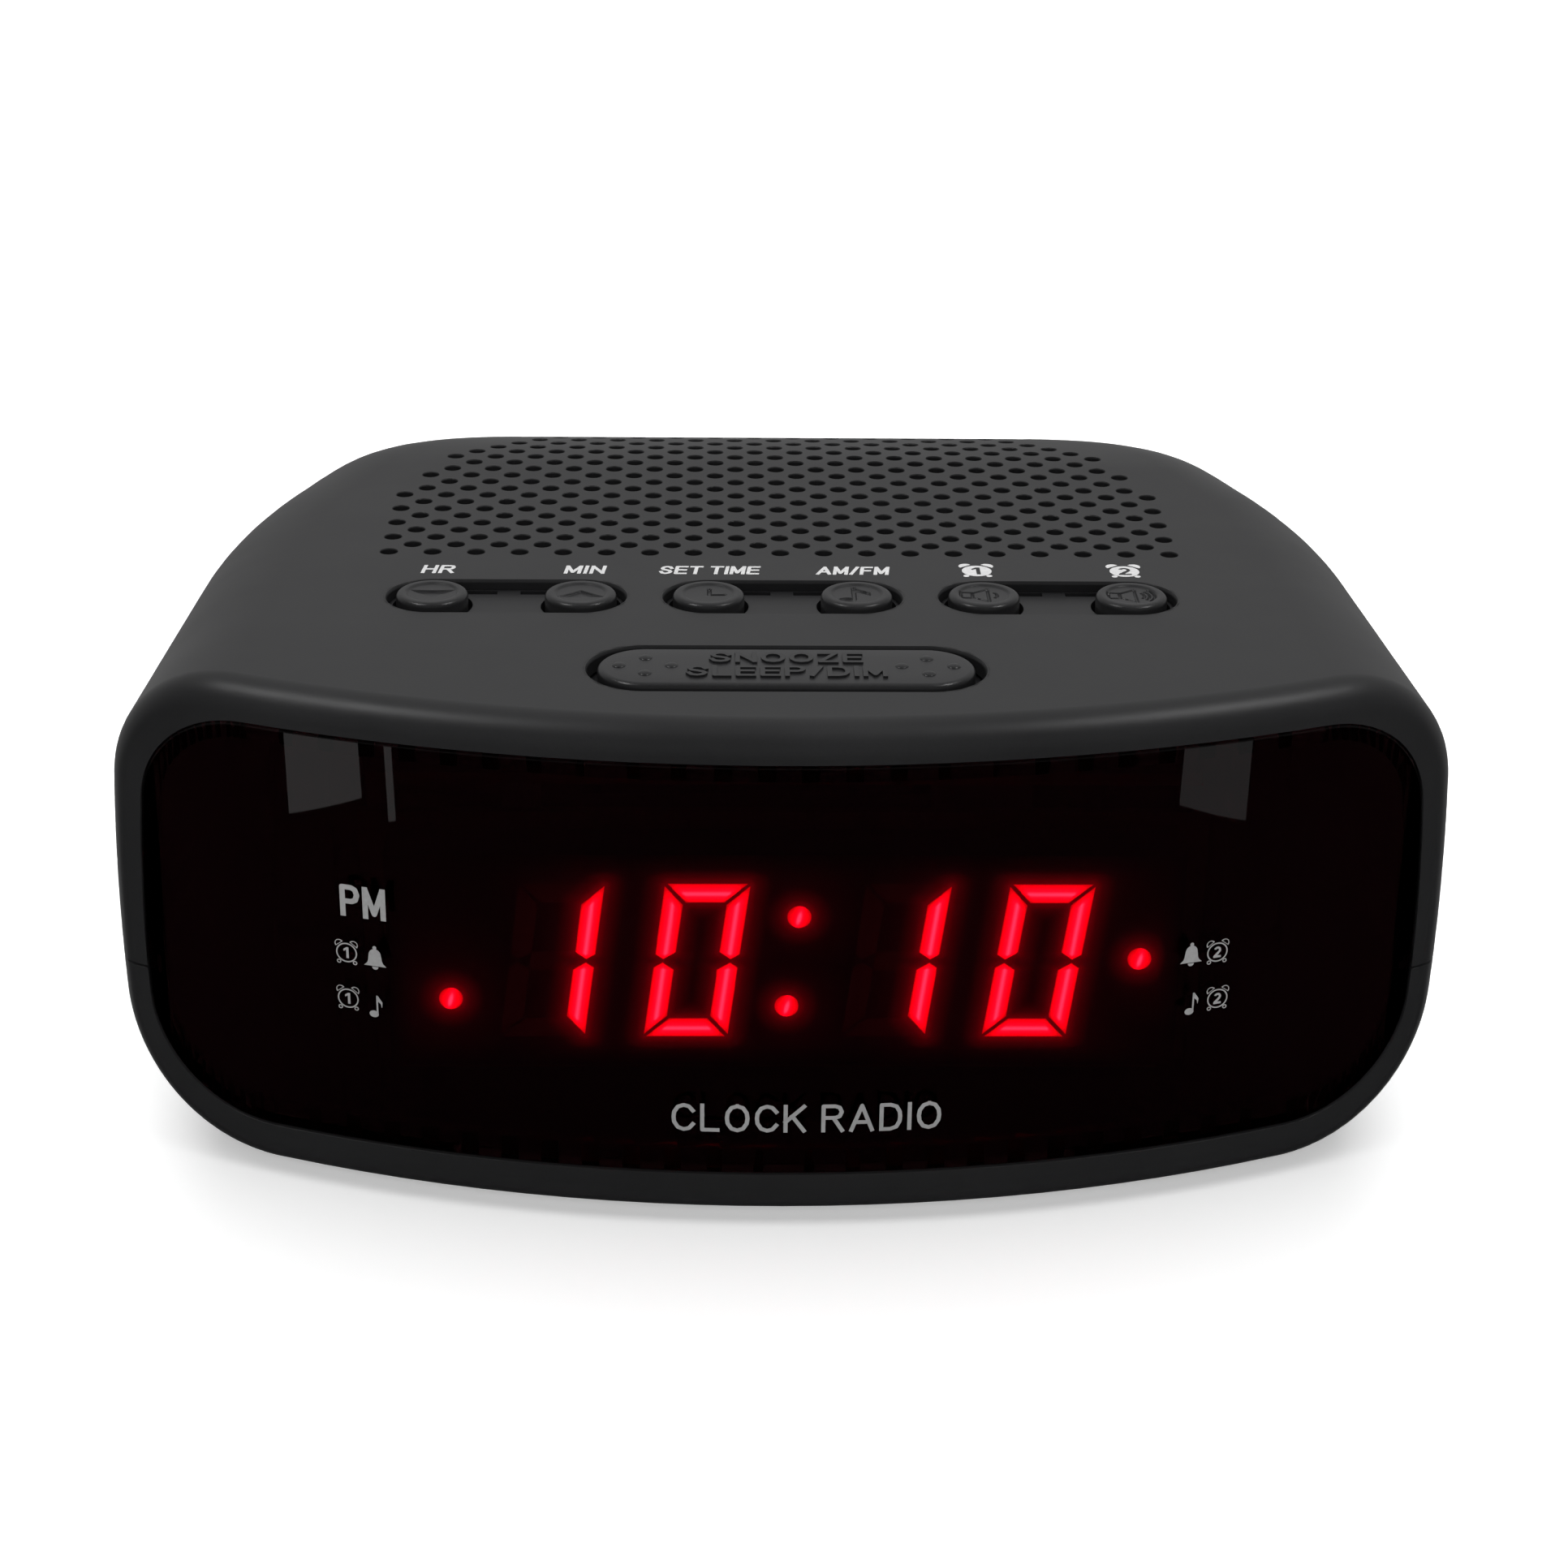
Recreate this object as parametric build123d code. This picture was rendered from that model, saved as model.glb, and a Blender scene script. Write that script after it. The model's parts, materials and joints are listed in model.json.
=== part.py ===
from build123d import *
import math
import os

# Bedside clock radio: front faces -Y, +X is to the user's right, +Z up, feet stand on z = 0.
# Units are millimetres. The shapes are drawn about x = 0 and y = 0 near the middle of the top;
# save() then moves them back by centre_y, so that the origin is the centre of the bounding box
# in plan, on the surface that the radio stands on.

# ---- overall body ----
body_bottom = 1.2          # underside of the lower shell; the feet reach down to 0
top_z = 72.3               # flat top
half_width = 90.0          # widest half section, just behind the front rim
widest_z = 36.0            # height of that widest section
lean_top = 3.0             # how far the side walls lean in at the top
lean_bottom = 1.9          # and at the bottom
front_y = -67.0            # foremost point of the curved front
front_r = 190.0            # plan radius of the curved front
rear_y = 70.0
side_taper = 0.065         # sides close in towards the rear
side_front_y = -43.0
side_turn_y = 20.0         # where the sides start to turn in
rear_corner_x = 67.0
side_r = 110.0
rear_r = 38.0
top_round = 18.0
bottom_round = 23.0
rim_round = 4.5
drop_start_y = 35.0        # the top falls away behind this line
drop_r = 110.0
drop_angle = 17.0
wall = 2.2
seam_z = 28.3              # joint between the two shells
seam_gap = 0.4

# ---- front lens ----
lens_t = 2.5
ledge_t = 1.8              # ledge behind the lens that it is bonded to
ledge_w = 3.0
lens_top_z = 67.5
lens_bottom_z = 8.0
lens_half = 86.0
lens_top_r = 15.0
lens_bottom_r = 17.0
lens_gap = 0.2

# ---- grille ----
hole_pitch = 6.2
hole_d = 2.5
grille_rows = 21
grille_y = -3.0            # front row
row_step = hole_pitch / 2

# ---- keys ----
key_y = -20.5
key_r = 4.93
key_half_step = 10.2
pair_x = {"hour_minute": -38.0, "time_band": 0.0, "alarm": 38.0}
slot_r = 6.2
snooze_y = -46.5
snooze_half = 24.65
snooze_r = 6.35
snooze_gap = 1.35
key_proud = 0.6
floor_drop = 1.5           # bridge floor below the top surface
board_t = 1.6
key_board_top = 60.2
switch_h = 3.5
plunger_top = 64.6

# ---- display ----
display_y = -56.5          # front face of the digit block
digit_h = 22.6
digit_w = 11.1
digit_z = 35.1
digit_slant = 0.13
segment_t = 2.7
segment_gap = 0.35
digit_x = (-30.5, -11.6, 14.6, 33.3)
lit_digits = ("bc", "abcdef", "bc", "abcdef")
dot_r = 1.57
dots_xz = ((1.8, 41.6), (0.3, 28.4), (-43.9, 29.5), (46.6, 35.5))

# ---- inside ----
main_board_z = 12.0
speaker_y = 31.1
speaker_flange_z = 62.0
post_x = 21.7              # speaker posts stand between grille holes
post_dy = 21.7
bay_x = 27.0
bay_y0 = 5.0
bay_y1 = 32.0
bay_top = 16.0
bay_wall = 2.0
cell_z = 9.0               # axis of the two cells
cell_y = (13.2, 24.6)
spring_len = 8.4
hinge_y = 6.9
hinge_z = 2.6
hinge_r = 1.4
pin_r = 0.9
case_screw_xy = ((66.0, -30.0), (-66.0, -30.0), (52.0, 50.0), (-52.0, 50.0))
foot_xy = {
    "front_left": (-56.0, -36.0),
    "front_right": (56.0, -36.0),
    "rear_left": (-44.0, 42.0),
    "rear_right": (44.0, 42.0),
}
foot_r = 6.5
foot_sink = 0.8
gland_x = -32.0
aerial_gland_x = 32.0
gland_z = 36.5
gland_inner_y = 67.7       # flanges grip the rear wall with a little clearance
gland_outer_y = 70.05
gland_flange = 1.3
transformer_x = -49.75
transformer_y = 20.0
bridge_r = 8.6

os.makedirs("parts", exist_ok=True)
front_axis_y = front_y + front_r
inner_top = top_z - wall
centre_y = (front_y + gland_outer_y + gland_flange) / 2
UP = (Align.CENTER, Align.CENTER, Align.MIN)


def save(node, shape):
    """One solid on its own, or several as a group."""
    solids = list(shape.solids())
    placed = [Pos(0, -centre_y, 0) * solid for solid in solids]
    whole = placed[0] if len(placed) == 1 else Compound(children=placed)
    export_step(whole, f"parts/{node}.step")


def rod(x, y, z0, z1, r):
    """Upright cylinder."""
    return Pos(x, y, z0) * Cylinder(r, z1 - z0, align=UP)


def block(x0, x1, y0, y1, z0, z1):
    return Pos(x0, y0, z0) * Box(x1 - x0, y1 - y0, z1 - z0, align=(Align.MIN,) * 3)


def stadium(x, y, half_step, r, z0, z1):
    """Upright plate with round ends."""
    sketch = SlotCenterToCenter(2 * half_step, 2 * r)
    return Pos(x, y, z0) * extrude(sketch, amount=z1 - z0)


def front_cylinder(depth, z0=-20.0, height=120.0):
    """Everything behind the curved front, set back by depth."""
    return Pos(0, front_axis_y, z0) * Cylinder(front_r - depth, height, align=UP)


# ---- body form, used for the outside and, set in by the wall, for the inside ----

def plan_outline(inset, z):
    """Plan of the body at one height: open-fronted, tapering sides, round rear corners."""
    far_front = -90.0
    w = half_width - inset
    front_w = w + side_taper * (side_front_y - far_front)
    turn_w = w - side_taper * (side_turn_y - side_front_y)
    rear = rear_y - inset
    corner = rear_corner_x - inset
    outline = Polyline(
        (-front_w, far_front), (front_w, far_front), (turn_w, side_turn_y),
        (corner, rear), (-corner, rear), (-turn_w, side_turn_y), close=True,
    )
    sketch = Sketch() + make_face(outline)
    sides = [v for v in sketch.vertices() if abs(v.Y - side_turn_y) < 0.1]
    sketch = fillet(sides, side_r)
    corners = [v for v in sketch.vertices() if abs(v.Y - rear) < 0.1]
    sketch = fillet(corners, rear_r - inset)
    return Pos(0, 0, z) * sketch


def side_profile(inset):
    """Side view of the body: flat top that falls away in an arc towards the rear."""
    low, high = body_bottom + inset, top_z - inset
    r = drop_r - inset
    angle = math.radians(drop_angle)
    arc_mid = (drop_start_y + r * math.sin(angle / 2), high - r * (1 - math.cos(angle / 2)))
    arc_end = (drop_start_y + r * math.sin(angle), high - r * (1 - math.cos(angle)))
    far_front, far_rear = -100.0, 110.0
    slope_end = (far_rear, arc_end[1] - (far_rear - arc_end[0]) * math.tan(angle))
    lines = [
        Line((far_front, low), (far_front, high)),
        Line((far_front, high), (drop_start_y, high)),
        ThreePointArc((drop_start_y, high), arc_mid, arc_end),
        Line(arc_end, slope_end),
        Line(slope_end, (far_rear, low)),
        Line((far_rear, low), (far_front, low)),
    ]
    return extrude(Plane.YZ * make_face(lines), amount=120, both=True)


def body_form(inset, depth, rim):
    low, high = body_bottom + inset, top_z - inset
    tube = loft([
        plan_outline(inset + lean_bottom, low),
        plan_outline(inset, widest_z),
        plan_outline(inset + lean_top, high + 3),
    ])
    body = Part() + (tube & side_profile(inset)).solids()[0]
    under = [e for e in body.edges() if abs(e.center().Z - low) < 0.05 and e.center().Y > -89.9]
    body = fillet(under, bottom_round - inset)
    over = []
    for e in body.edges():
        c, box = e.center(), e.bounding_box()
        across = abs(c.X) < 1 and c.Y < rear_y - inset - 4
        if c.Y > -89.9 and box.min.Z > high - 22 and not across:
            over.append(e)
    body = fillet(over, top_round - inset)
    body = body & front_cylinder(depth)
    if rim:
        front = []
        for e in body.edges():
            p = e.position_at(0.5)
            if p.Y < 0 and abs(math.hypot(p.X, p.Y - front_axis_y) - front_r + depth) < 0.02:
                front.append(e)
        body = fillet(front, rim)
    return body


def lens_outline(inset):
    """Front view of the lens: level top and bottom, bowed sides, four round corners."""
    top, bottom, w = lens_top_z - inset, lens_bottom_z + inset, lens_half - inset
    lines = [
        Line((-w + 2.6, top), (w - 2.6, top)),
        ThreePointArc((w - 2.6, top), (w, widest_z), (w - 1.2, bottom)),
        Line((w - 1.2, bottom), (-w + 1.2, bottom)),
        ThreePointArc((-w + 1.2, bottom), (-w, widest_z), (-w + 2.6, top)),
    ]
    sketch = Sketch() + make_face(lines)
    upper = [v for v in sketch.vertices() if abs(v.Y - top) < 0.1]
    sketch = fillet(upper, lens_top_r - inset)
    lower = [v for v in sketch.vertices() if abs(v.Y - bottom) < 0.1]
    return fillet(lower, lens_bottom_r - inset)


def lens_prism(inset, y0=-90.0, y1=-20.0):
    """The lens outline carried straight back along Y."""
    face = Plane(origin=(0, y0, 0), x_dir=(1, 0, 0), z_dir=(0, -1, 0)) * lens_outline(inset)
    return extrude(face, amount=-(y1 - y0))


# ---- shells ----

def grille_holes():
    """Staggered round holes; the rear corners of the field are cut off at a slant."""
    centres = []
    for row in range(grille_rows):
        back = row / 2
        shift = 0.5 * (row % 2)
        for step in range(-10, 11):
            column = step + shift
            reach = abs(column)
            if reach <= 9 and reach + back / 3 <= 10.5 and reach + back <= 15:
                centres.append((column * hole_pitch, grille_y + row * row_step))
    field = Sketch() + [Pos(x, y) * Circle(hole_d / 2) for x, y in centres]
    return Pos(0, 0, 58.0) * extrude(field, amount=20.0)


def posts(cavity, places, z0, z1, r):
    """Screw posts trimmed to the inside of the body."""
    return [rod(x, y, z0, z1, r) & cavity for x, y in places]


key_board_posts = ((50.0, -46.0), (-50.0, -46.0), (50.0, -8.0), (-50.0, -8.0))
speaker_posts = [(sx * post_x, speaker_y + sy * post_dy) for sx in (-1, 1) for sy in (-1, 1)]
main_board_posts = ((47.0, -38.0), (-47.0, -38.0), (47.0, -7.0), (-47.0, -7.0))
transformer_posts = ((-66.0, 14.0), (-33.5, 14.0))


def whole_case():
    outer = body_form(0, 0, rim_round)
    cavity = body_form(wall, lens_t + ledge_t, 0)
    case = outer - cavity
    case -= lens_prism(0) - front_cylinder(lens_t)
    case -= lens_prism(ledge_w)
    band = block(-120, 120, -90, 90, seam_z - seam_gap / 2, seam_z + seam_gap / 2)
    core = body_form(0.5, 0.5, 0)
    case -= band - core
    return case, cavity


def top_shell(case, cavity):
    upper = block(-120, 120, -90, 90, seam_z, 120)
    shell = case & upper
    room = cavity & upper
    adds = posts(room, case_screw_xy, seam_z, top_z, 4.0)
    adds += posts(room, key_board_posts, key_board_top, top_z, 2.8)
    adds += posts(room, speaker_posts, speaker_flange_z, 66.0, 2.8)
    adds += posts(room, speaker_posts, speaker_flange_z, top_z, 1.8)
    for piece in adds:
        shell += piece
    for x, y in case_screw_xy:
        shell -= rod(x, y, seam_z - 1, 46.0, 1.45)
    for x, y in key_board_posts:
        shell -= rod(x, y, key_board_top - 1, 67.0, 1.05)
    for x, y in speaker_posts:
        shell -= rod(x, y, speaker_flange_z - 1, 66.5, 1.05)
    for x in pair_x.values():
        shell -= stadium(x, key_y, key_half_step, slot_r, 60, 80)
    shell -= stadium(0, snooze_y, snooze_half - snooze_r, snooze_r + snooze_gap, 60, 80)
    for x, r in ((gland_x, 4.0), (aerial_gland_x, 2.6)):
        shell -= Pos(x, rear_y, gland_z) * Rot(90, 0, 0) * Cylinder(r, 20)
    return shell - grille_holes()


def bottom_shell(case, cavity):
    lower = block(-120, 120, -90, 90, -10, seam_z)
    shell = case & lower
    room = cavity & lower
    adds = posts(room, case_screw_xy, 0, seam_z, 4.6)
    adds += posts(room, main_board_posts, 0, main_board_z, 3.0)
    adds += posts(room, transformer_posts, 0, 9.0, 3.0)
    bay_out = bay_x + bay_wall
    bay_front, bay_back = bay_y0 - bay_wall, bay_y1 + bay_wall
    adds.append(block(-bay_out, bay_out, bay_front, bay_back, body_bottom, bay_top + bay_wall))
    for side in (-1, 1):
        x0, x1 = sorted((side * 54.6, side * 59.0))
        adds.append(block(x0, x1, -51.0, -44.0, 2.0, 26.0) & room)
        adds.append(block(side * 26 - 2, side * 26 + 2, 55.0, 64.0, 2.0, 26.0) & room)
    for piece in adds:
        shell += piece
    shell -= block(-bay_x, bay_x, bay_y0, bay_y1, -5, bay_top)
    shell -= Pos(0, hinge_y, hinge_z) * Rot(0, 90, 0) * Cylinder(pin_r + 0.08, 2 * (bay_x + 2.4))
    shell -= Pos(0, 59.5, 26.0) * Rot(0, 90, 0) * Cylinder(4.05, 70)
    shell -= block(-56.2, 56.2, -48.7, -46.7, 15.8, 40)
    for x, y in case_screw_xy:
        shell -= rod(x, y, -5, 20.0, 3.2)
        shell -= rod(x, y, 10, seam_z + 1, 1.7)
    for x, y in main_board_posts:
        shell -= rod(x, y, 5.0, main_board_z + 1, 1.05)
    for x, y in transformer_posts:
        shell -= rod(x, y, 4.5, 10.0, 1.05)
    for x, y in foot_xy.values():
        shell -= rod(x, y, -5, body_bottom + foot_sink, foot_r + 0.1)
    return shell


def front_lens():
    glass = lens_prism(lens_gap) & front_cylinder(0)
    glass -= front_cylinder(lens_t)
    edge = []
    for e in glass.edges():
        p = e.position_at(0.5)
        if abs(math.hypot(p.X, p.Y - front_axis_y) - front_r) < 0.02:
            edge.append(e)
    return chamfer(edge, 0.35)


# ---- keys, bridges and switches ----

def key_bridge(x):
    """Fixed floor between two keys: raised tongue in the slot, flange under the top wall."""
    flange = stadium(x, key_y, key_half_step, bridge_r, inner_top - 1.4, inner_top)
    tongue = stadium(x, key_y, key_half_step, slot_r - 0.15, inner_top - 1.4, top_z - floor_drop)
    bridge = flange + tongue
    for side in (-1, 1):
        bridge -= rod(x + side * key_half_step, key_y, 60, 80, key_r + 0.6)
        gap_x0, gap_x1 = sorted((x + side * 1.6, x + side * 8.5))
        bridge -= block(gap_x0, gap_x1, key_y + 4.4, key_y + 5.7, 60, 80)
    return bridge


def key_cap(x):
    """Round key: dished face, retaining flange under the bridge, stem over its switch."""
    face_z = top_z + key_proud
    cap = rod(x, key_y, 67.0, face_z, key_r)
    cap = fillet(cap.edges().group_by(Axis.Z)[-1], 0.7)
    dish_r = 22.0
    cap -= Pos(x, key_y, face_z + dish_r - 0.4) * Sphere(dish_r)
    cap += rod(x, key_y, 67.0, 68.2, key_r + 1.5)
    return cap + rod(x, key_y, plunger_top, 67.0, 2.0)


def snooze_bar():
    face_z = top_z + 0.3
    bar = stadium(0, snooze_y, snooze_half - snooze_r, snooze_r, 68.4, face_z)
    bar = fillet(bar.edges().group_by(Axis.Z)[-1], 0.8)
    for side in (-1, 1):
        for dx, dy in ((0, 2.6), (0, -2.6), (3.4, 0), (-3.4, 0)):
            bar += Pos(side * 18.4 + dx, snooze_y + dy, face_z - 0.5) * Sphere(0.9)
    bar += stadium(0, snooze_y, snooze_half - snooze_r, snooze_r + 2.6, 68.4, 69.6)
    return bar + rod(0, snooze_y, plunger_top, 68.4, 2.0)


def tact_switch(x, y):
    top = key_board_top + switch_h
    body = block(x - 3, x + 3, y - 3, y + 3, key_board_top, top)
    return body - rod(x, y, top - 1.7, top + 1, 2.0)


def switch_plunger(x, y):
    return rod(x, y, key_board_top + switch_h - 0.7, plunger_top, 1.75)


# ---- display ----

def segment_shapes():
    """Outlines of the seven segments of one upright digit, centred on the origin."""
    w, h, t, g = digit_w / 2, digit_h / 2, segment_t, segment_gap
    top_bar = [(-w + g, h), (w - g, h), (w - t - g, h - t), (-w + t + g, h - t)]
    side_bar = [(w, h - g), (w, g), (w - t / 2, g), (w - t, t / 2 + g), (w - t, h - t - g)]
    mid_half = [(-w + t, t / 2), (w - t, t / 2), (w - t / 2 - g / 2, 0)]
    mid_bar = mid_half + [(-x, -z) for x, z in mid_half]

    def flip(points, fx, fz):
        return [(x * fx, z * fz) for x, z in points]

    return {
        "a": top_bar, "b": side_bar, "c": flip(side_bar, 1, -1), "d": flip(top_bar, 1, -1),
        "e": flip(side_bar, -1, -1), "f": flip(side_bar, -1, 1), "g": mid_bar,
    }


def segment_solid(points, x):
    """One light pipe: leaning with the digit, as deep as the block."""
    leaning = [(x + px + digit_slant * pz, digit_z + pz) for px, pz in points]
    face = make_face(Polyline(*leaning, close=True))
    plane = Plane(origin=(0, display_y, 0), x_dir=(1, 0, 0), z_dir=(0, -1, 0))
    return extrude(plane * face, amount=-6.0)


def display_parts():
    lit, unlit = [], []
    for x, lit_names in zip(digit_x, lit_digits):
        for name, points in segment_shapes().items():
            (lit if name in lit_names else unlit).append(segment_solid(points, x))
    dots = []
    for x, z in dots_xz:
        dots.append(Pos(x, display_y + 3.0, z) * Rot(90, 0, 0) * Cylinder(dot_r, 6.0))
    block_body = block(-52, 52, display_y, display_y + 8.0, 19.5, 50.5)
    for piece in lit + unlit + dots:
        block_body -= piece
    board = block(-56, 56, display_y + 8.0, display_y + 8.0 + board_t, 16.0, 53.0)
    return block_body, lit, unlit, dots, board


# ---- boards and what they carry ----

def key_board():
    board = block(-54, 54, -52, -4.5, key_board_top - board_t, key_board_top)
    for x, y in key_board_posts:
        board -= rod(x, y, 50, 70, 1.3)
    return board


def main_board():
    board = block(-52, 52, -44, -1, main_board_z, main_board_z + board_t)
    for x, y in main_board_posts:
        board -= rod(x, y, 0, 30, 1.3)
    return board


def screw(x, y, seat_z, tip_z, r, head_r):
    """Pan-head screw; its tip may point up or down from the seat."""
    head_h = 1.5 if tip_z > seat_z else -1.5
    z0, z1 = sorted((seat_z, tip_z))
    h0, h1 = sorted((seat_z, seat_z - head_h))
    head = rod(x, y, h0, h1, head_r)
    outer = max(head.edges(), key=lambda e: (abs(e.center().Z - seat_z), e.length))
    head = fillet(outer, 0.5)
    head -= Pos(x, y, seat_z - head_h) * Box(2.4, 0.6, 1.2)
    head -= Pos(x, y, seat_z - head_h) * Box(0.6, 2.4, 1.2)
    return head + rod(x, y, z0, z1, r)


# ---- speaker, facing up under the grille ----

def ring(profile):
    """Turns an (r, z) outline about the speaker's axis."""
    face = Plane.XZ * make_face(Polyline(*profile, close=True))
    return Pos(0, speaker_y, 0) * revolve(face, Axis.Z, 360)


def speaker_basket():
    z = speaker_flange_z
    basket = ring([
        (25.8, z), (28.5, z), (28.5, z - 1.4), (28.0, z - 1.4), (17.5, 46.5),
        (9.0, 46.5), (9.0, 47.6), (16.7, 47.6), (25.8, z - 3.2),
    ])
    for i in range(4):
        window = Pos(0, speaker_y, 0) * Rot(0, 0, 45 + 90 * i + 45) * block(14, 30, -7, 7, 49.5, 57.5)
        basket -= window
    for x, y in speaker_posts:
        basket += rod(x, y, z - 1.4, z, 3.4) - rod(0, speaker_y, 50, 70, 27.0)
    for x, y in speaker_posts:
        basket -= rod(x, y, 50, 70, 1.2)
    return basket


def speaker_magnet():
    """Yoke with its pole, ring magnet and top plate, stacked face to face."""
    yoke = ring([(0, 33.5), (14.0, 33.5), (14.0, 36.0), (6.6, 36.0), (6.6, 46.5), (0, 46.5)])
    magnet = ring([(9.5, 36.0), (16.5, 36.0), (16.5, 44.0), (9.5, 44.0)])
    plate = ring([(7.9, 44.0), (15.0, 44.0), (15.0, 46.5), (7.9, 46.5)])
    return [yoke, magnet, plate]


def speaker_moving():
    cone = ring([(7.4, 50.0), (24.0, 58.6), (24.0, 59.3), (7.4, 50.7)])
    coil = ring([(7.0, 42.5), (7.4, 42.5), (7.4, 50.7), (7.0, 50.7)])
    dome_r, rim_r, rim_z = 16.0, 8.4, 51.25
    centre_z = rim_z - math.sqrt(dome_r ** 2 - rim_r ** 2)
    dome = Pos(0, speaker_y, centre_z) * (Sphere(dome_r) - Sphere(dome_r - 0.5))
    cap = dome & rod(0, speaker_y, rim_z, 60, rim_r)
    return cone, coil, cap


def speaker_surround():
    """Half roll of cloth between cone edge and basket."""
    roll = Circle(1.1) - Circle(0.7)
    upper = Pos(0, 2) * Rectangle(8, 4)
    section = Plane.XZ * (Pos(24.3, 59.4) * (roll & upper))
    collar = [(25.0, 59.4), (25.4, 59.4), (25.4, 62.05), (27.6, 62.05), (27.6, 62.45), (25.0, 62.45)]
    return Pos(0, speaker_y, 0) * revolve(section, Axis.Z, 360) + ring(collar)


def speaker_spider():
    wave = [(7.6 + 0.9 * i, 48.7 + (0.5 if i % 2 else 0.0)) for i in range(10)]
    upper = [(r, z + 0.35) for r, z in wave]
    return ring(wave + upper[::-1])


# ---- transformer ----

def transformer():
    x, y, z0 = transformer_x, transformer_y, 9.0
    core = block(x - 12.5, x + 12.5, y - 7, y + 7, z0 + 1.2, z0 + 26.2)
    for side in (-1, 1):
        near, far = sorted((x + side * 4.0, x + side * 8.5))
        core -= block(near, far, y - 8, y + 8, z0 + 6.2, z0 + 21.2)
    core += block(x - 19.25, x + 19.25, y - 9, y + 9, z0, z0 + 1.2)
    for px, py in transformer_posts:
        core -= rod(px, py, 0, z0 + 1.3, 1.3)
    winding = block(x - 8.2, x + 8.2, y - 12, y + 12, z0 + 6.6, z0 + 20.8)
    winding -= block(x - 4.2, x + 4.2, y - 7.2, y + 7.2, 0, 60)
    return core, winding


# ---- battery bay ----

def battery_door():
    plate = block(-bay_x + 0.4, bay_x - 0.4, hinge_y, bay_y1 - 0.4, body_bottom, body_bottom + 2.0)
    knuckle = Pos(0, hinge_y, hinge_z) * Rot(0, 90, 0) * Cylinder(hinge_r, 2 * (bay_x - 0.4))
    pins = Pos(0, hinge_y, hinge_z) * Rot(0, 90, 0) * Cylinder(pin_r, 2 * (bay_x + 2.0))
    door = plate + knuckle + pins
    for i in range(4):
        door -= block(-8, 8, 24.0 + 1.6 * i, 24.8 + 1.6 * i, 0, body_bottom + 0.4)
    return door


def battery_contacts():
    springs, plates = [], []
    back = Box(0.4, 9.0, 10.0)
    button = Rot(0, 90, 0) * Cylinder(2.0, 0.8)
    for side, y in zip((-1, 1), cell_y):
        turns = Helix(2.1, spring_len, 2.2, cone_angle=9)
        coil = sweep(Plane(origin=turns @ 0, z_dir=turns % 0) * Circle(0.3), path=turns)
        springs.append(Pos(side * (bay_x - 0.9 - spring_len), y, cell_z) * Rot(0, 90 * side, 0) * coil)
        springs.append(Pos(side * (bay_x - 0.25), y, cell_z) * back)
        plates.append(Pos(-side * (bay_x - 0.25), y, cell_z) * (back + Pos(side * 0.4, 0, 0) * button))
    return springs, plates


# ---- glands and wiring ----

def gland(x, outer, sleeve, bore):
    """Moulded bush through the rear wall, flanged on both sides."""
    along = Rot(-90, 0, 0)
    bush = Pos(x, gland_inner_y - 1.5, gland_z) * along * Cylinder(outer, 1.5, align=UP)
    bush += Pos(x, gland_inner_y, gland_z) * along * Cylinder(sleeve, gland_outer_y - gland_inner_y, align=UP)
    bush += Pos(x, gland_outer_y, gland_z) * along * Cylinder(outer, gland_flange, align=UP)
    return bush - Pos(x, rear_y, gland_z) * along * Cylinder(bore, 20)


def wire(points, diameter, radii):
    path = FilletPolyline(*points, radius=radii)
    return sweep(Plane(origin=path @ 0, z_dir=path % 0) * Circle(diameter / 2), path=path)


def ribbon(points, x, width, thickness, radii):
    """Flat cable in a plane of constant x."""
    path = FilletPolyline(*[(x, y, z) for y, z in points], radius=radii)
    start = Plane(origin=path @ 0, x_dir=(1, 0, 0), z_dir=path % 0)
    return sweep(start * Rectangle(width, thickness), path=path)


def inner_wiring(trim):
    """Key and display ribbons, speaker pair, transformer pair and mains pair, cut flush at the boards."""
    end_z = main_board_z + board_t - 0.8
    key_end = key_board_top - board_t
    runs = [
        ribbon([(-8, key_end), (-8, 44), (-16, 30), (-12, end_z)], 30, 14, 0.9, [20, 20]),
        ribbon([(display_y + 8.0 + board_t, 26), (-40, 26), (-34, end_z)], -20, 20, 0.9, [5]),
    ]
    lead = 1.3
    for dx in (0.0, 2.2):
        speaker_lead = [(20 + dx, 22, 48), (24 + dx, 14, 42), (24 + dx, 2, 28), (18 + dx, -6, end_z)]
        low_lead = [(-46 - dx, 7.95, 24), (-46 - dx, 1, 24), (-40 - dx, -8, end_z)]
        entry = gland_x - 1.1 + dx
        mains_lead = [(entry, 66.1, gland_z), (entry, 54, gland_z), (-46 + dx, 45, 24), (-46 + dx, 32.05, 24)]
        runs.append(wire(speaker_lead, lead, [8, 12]))
        runs.append(wire(low_lead, lead, [6]))
        runs.append(wire(mains_lead, lead, [8, 8]))
    return [run - trim for run in runs]


def group(shapes):
    whole = []
    for s in shapes:
        whole += list(s.solids())
    return Compound(children=whole)


# ---- make every node ----

case, cavity = whole_case()
save("top_shell", top_shell(case, cavity))
save("bottom_shell", bottom_shell(case, cavity))
save("front_lens", front_lens())
save("battery_door", battery_door())
for place, (x, y) in foot_xy.items():
    foot = rod(x, y, 0, body_bottom + foot_sink, foot_r)
    save(f"foot_{place}", fillet(foot.edges().group_by(Axis.Z)[0], 0.5))

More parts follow.
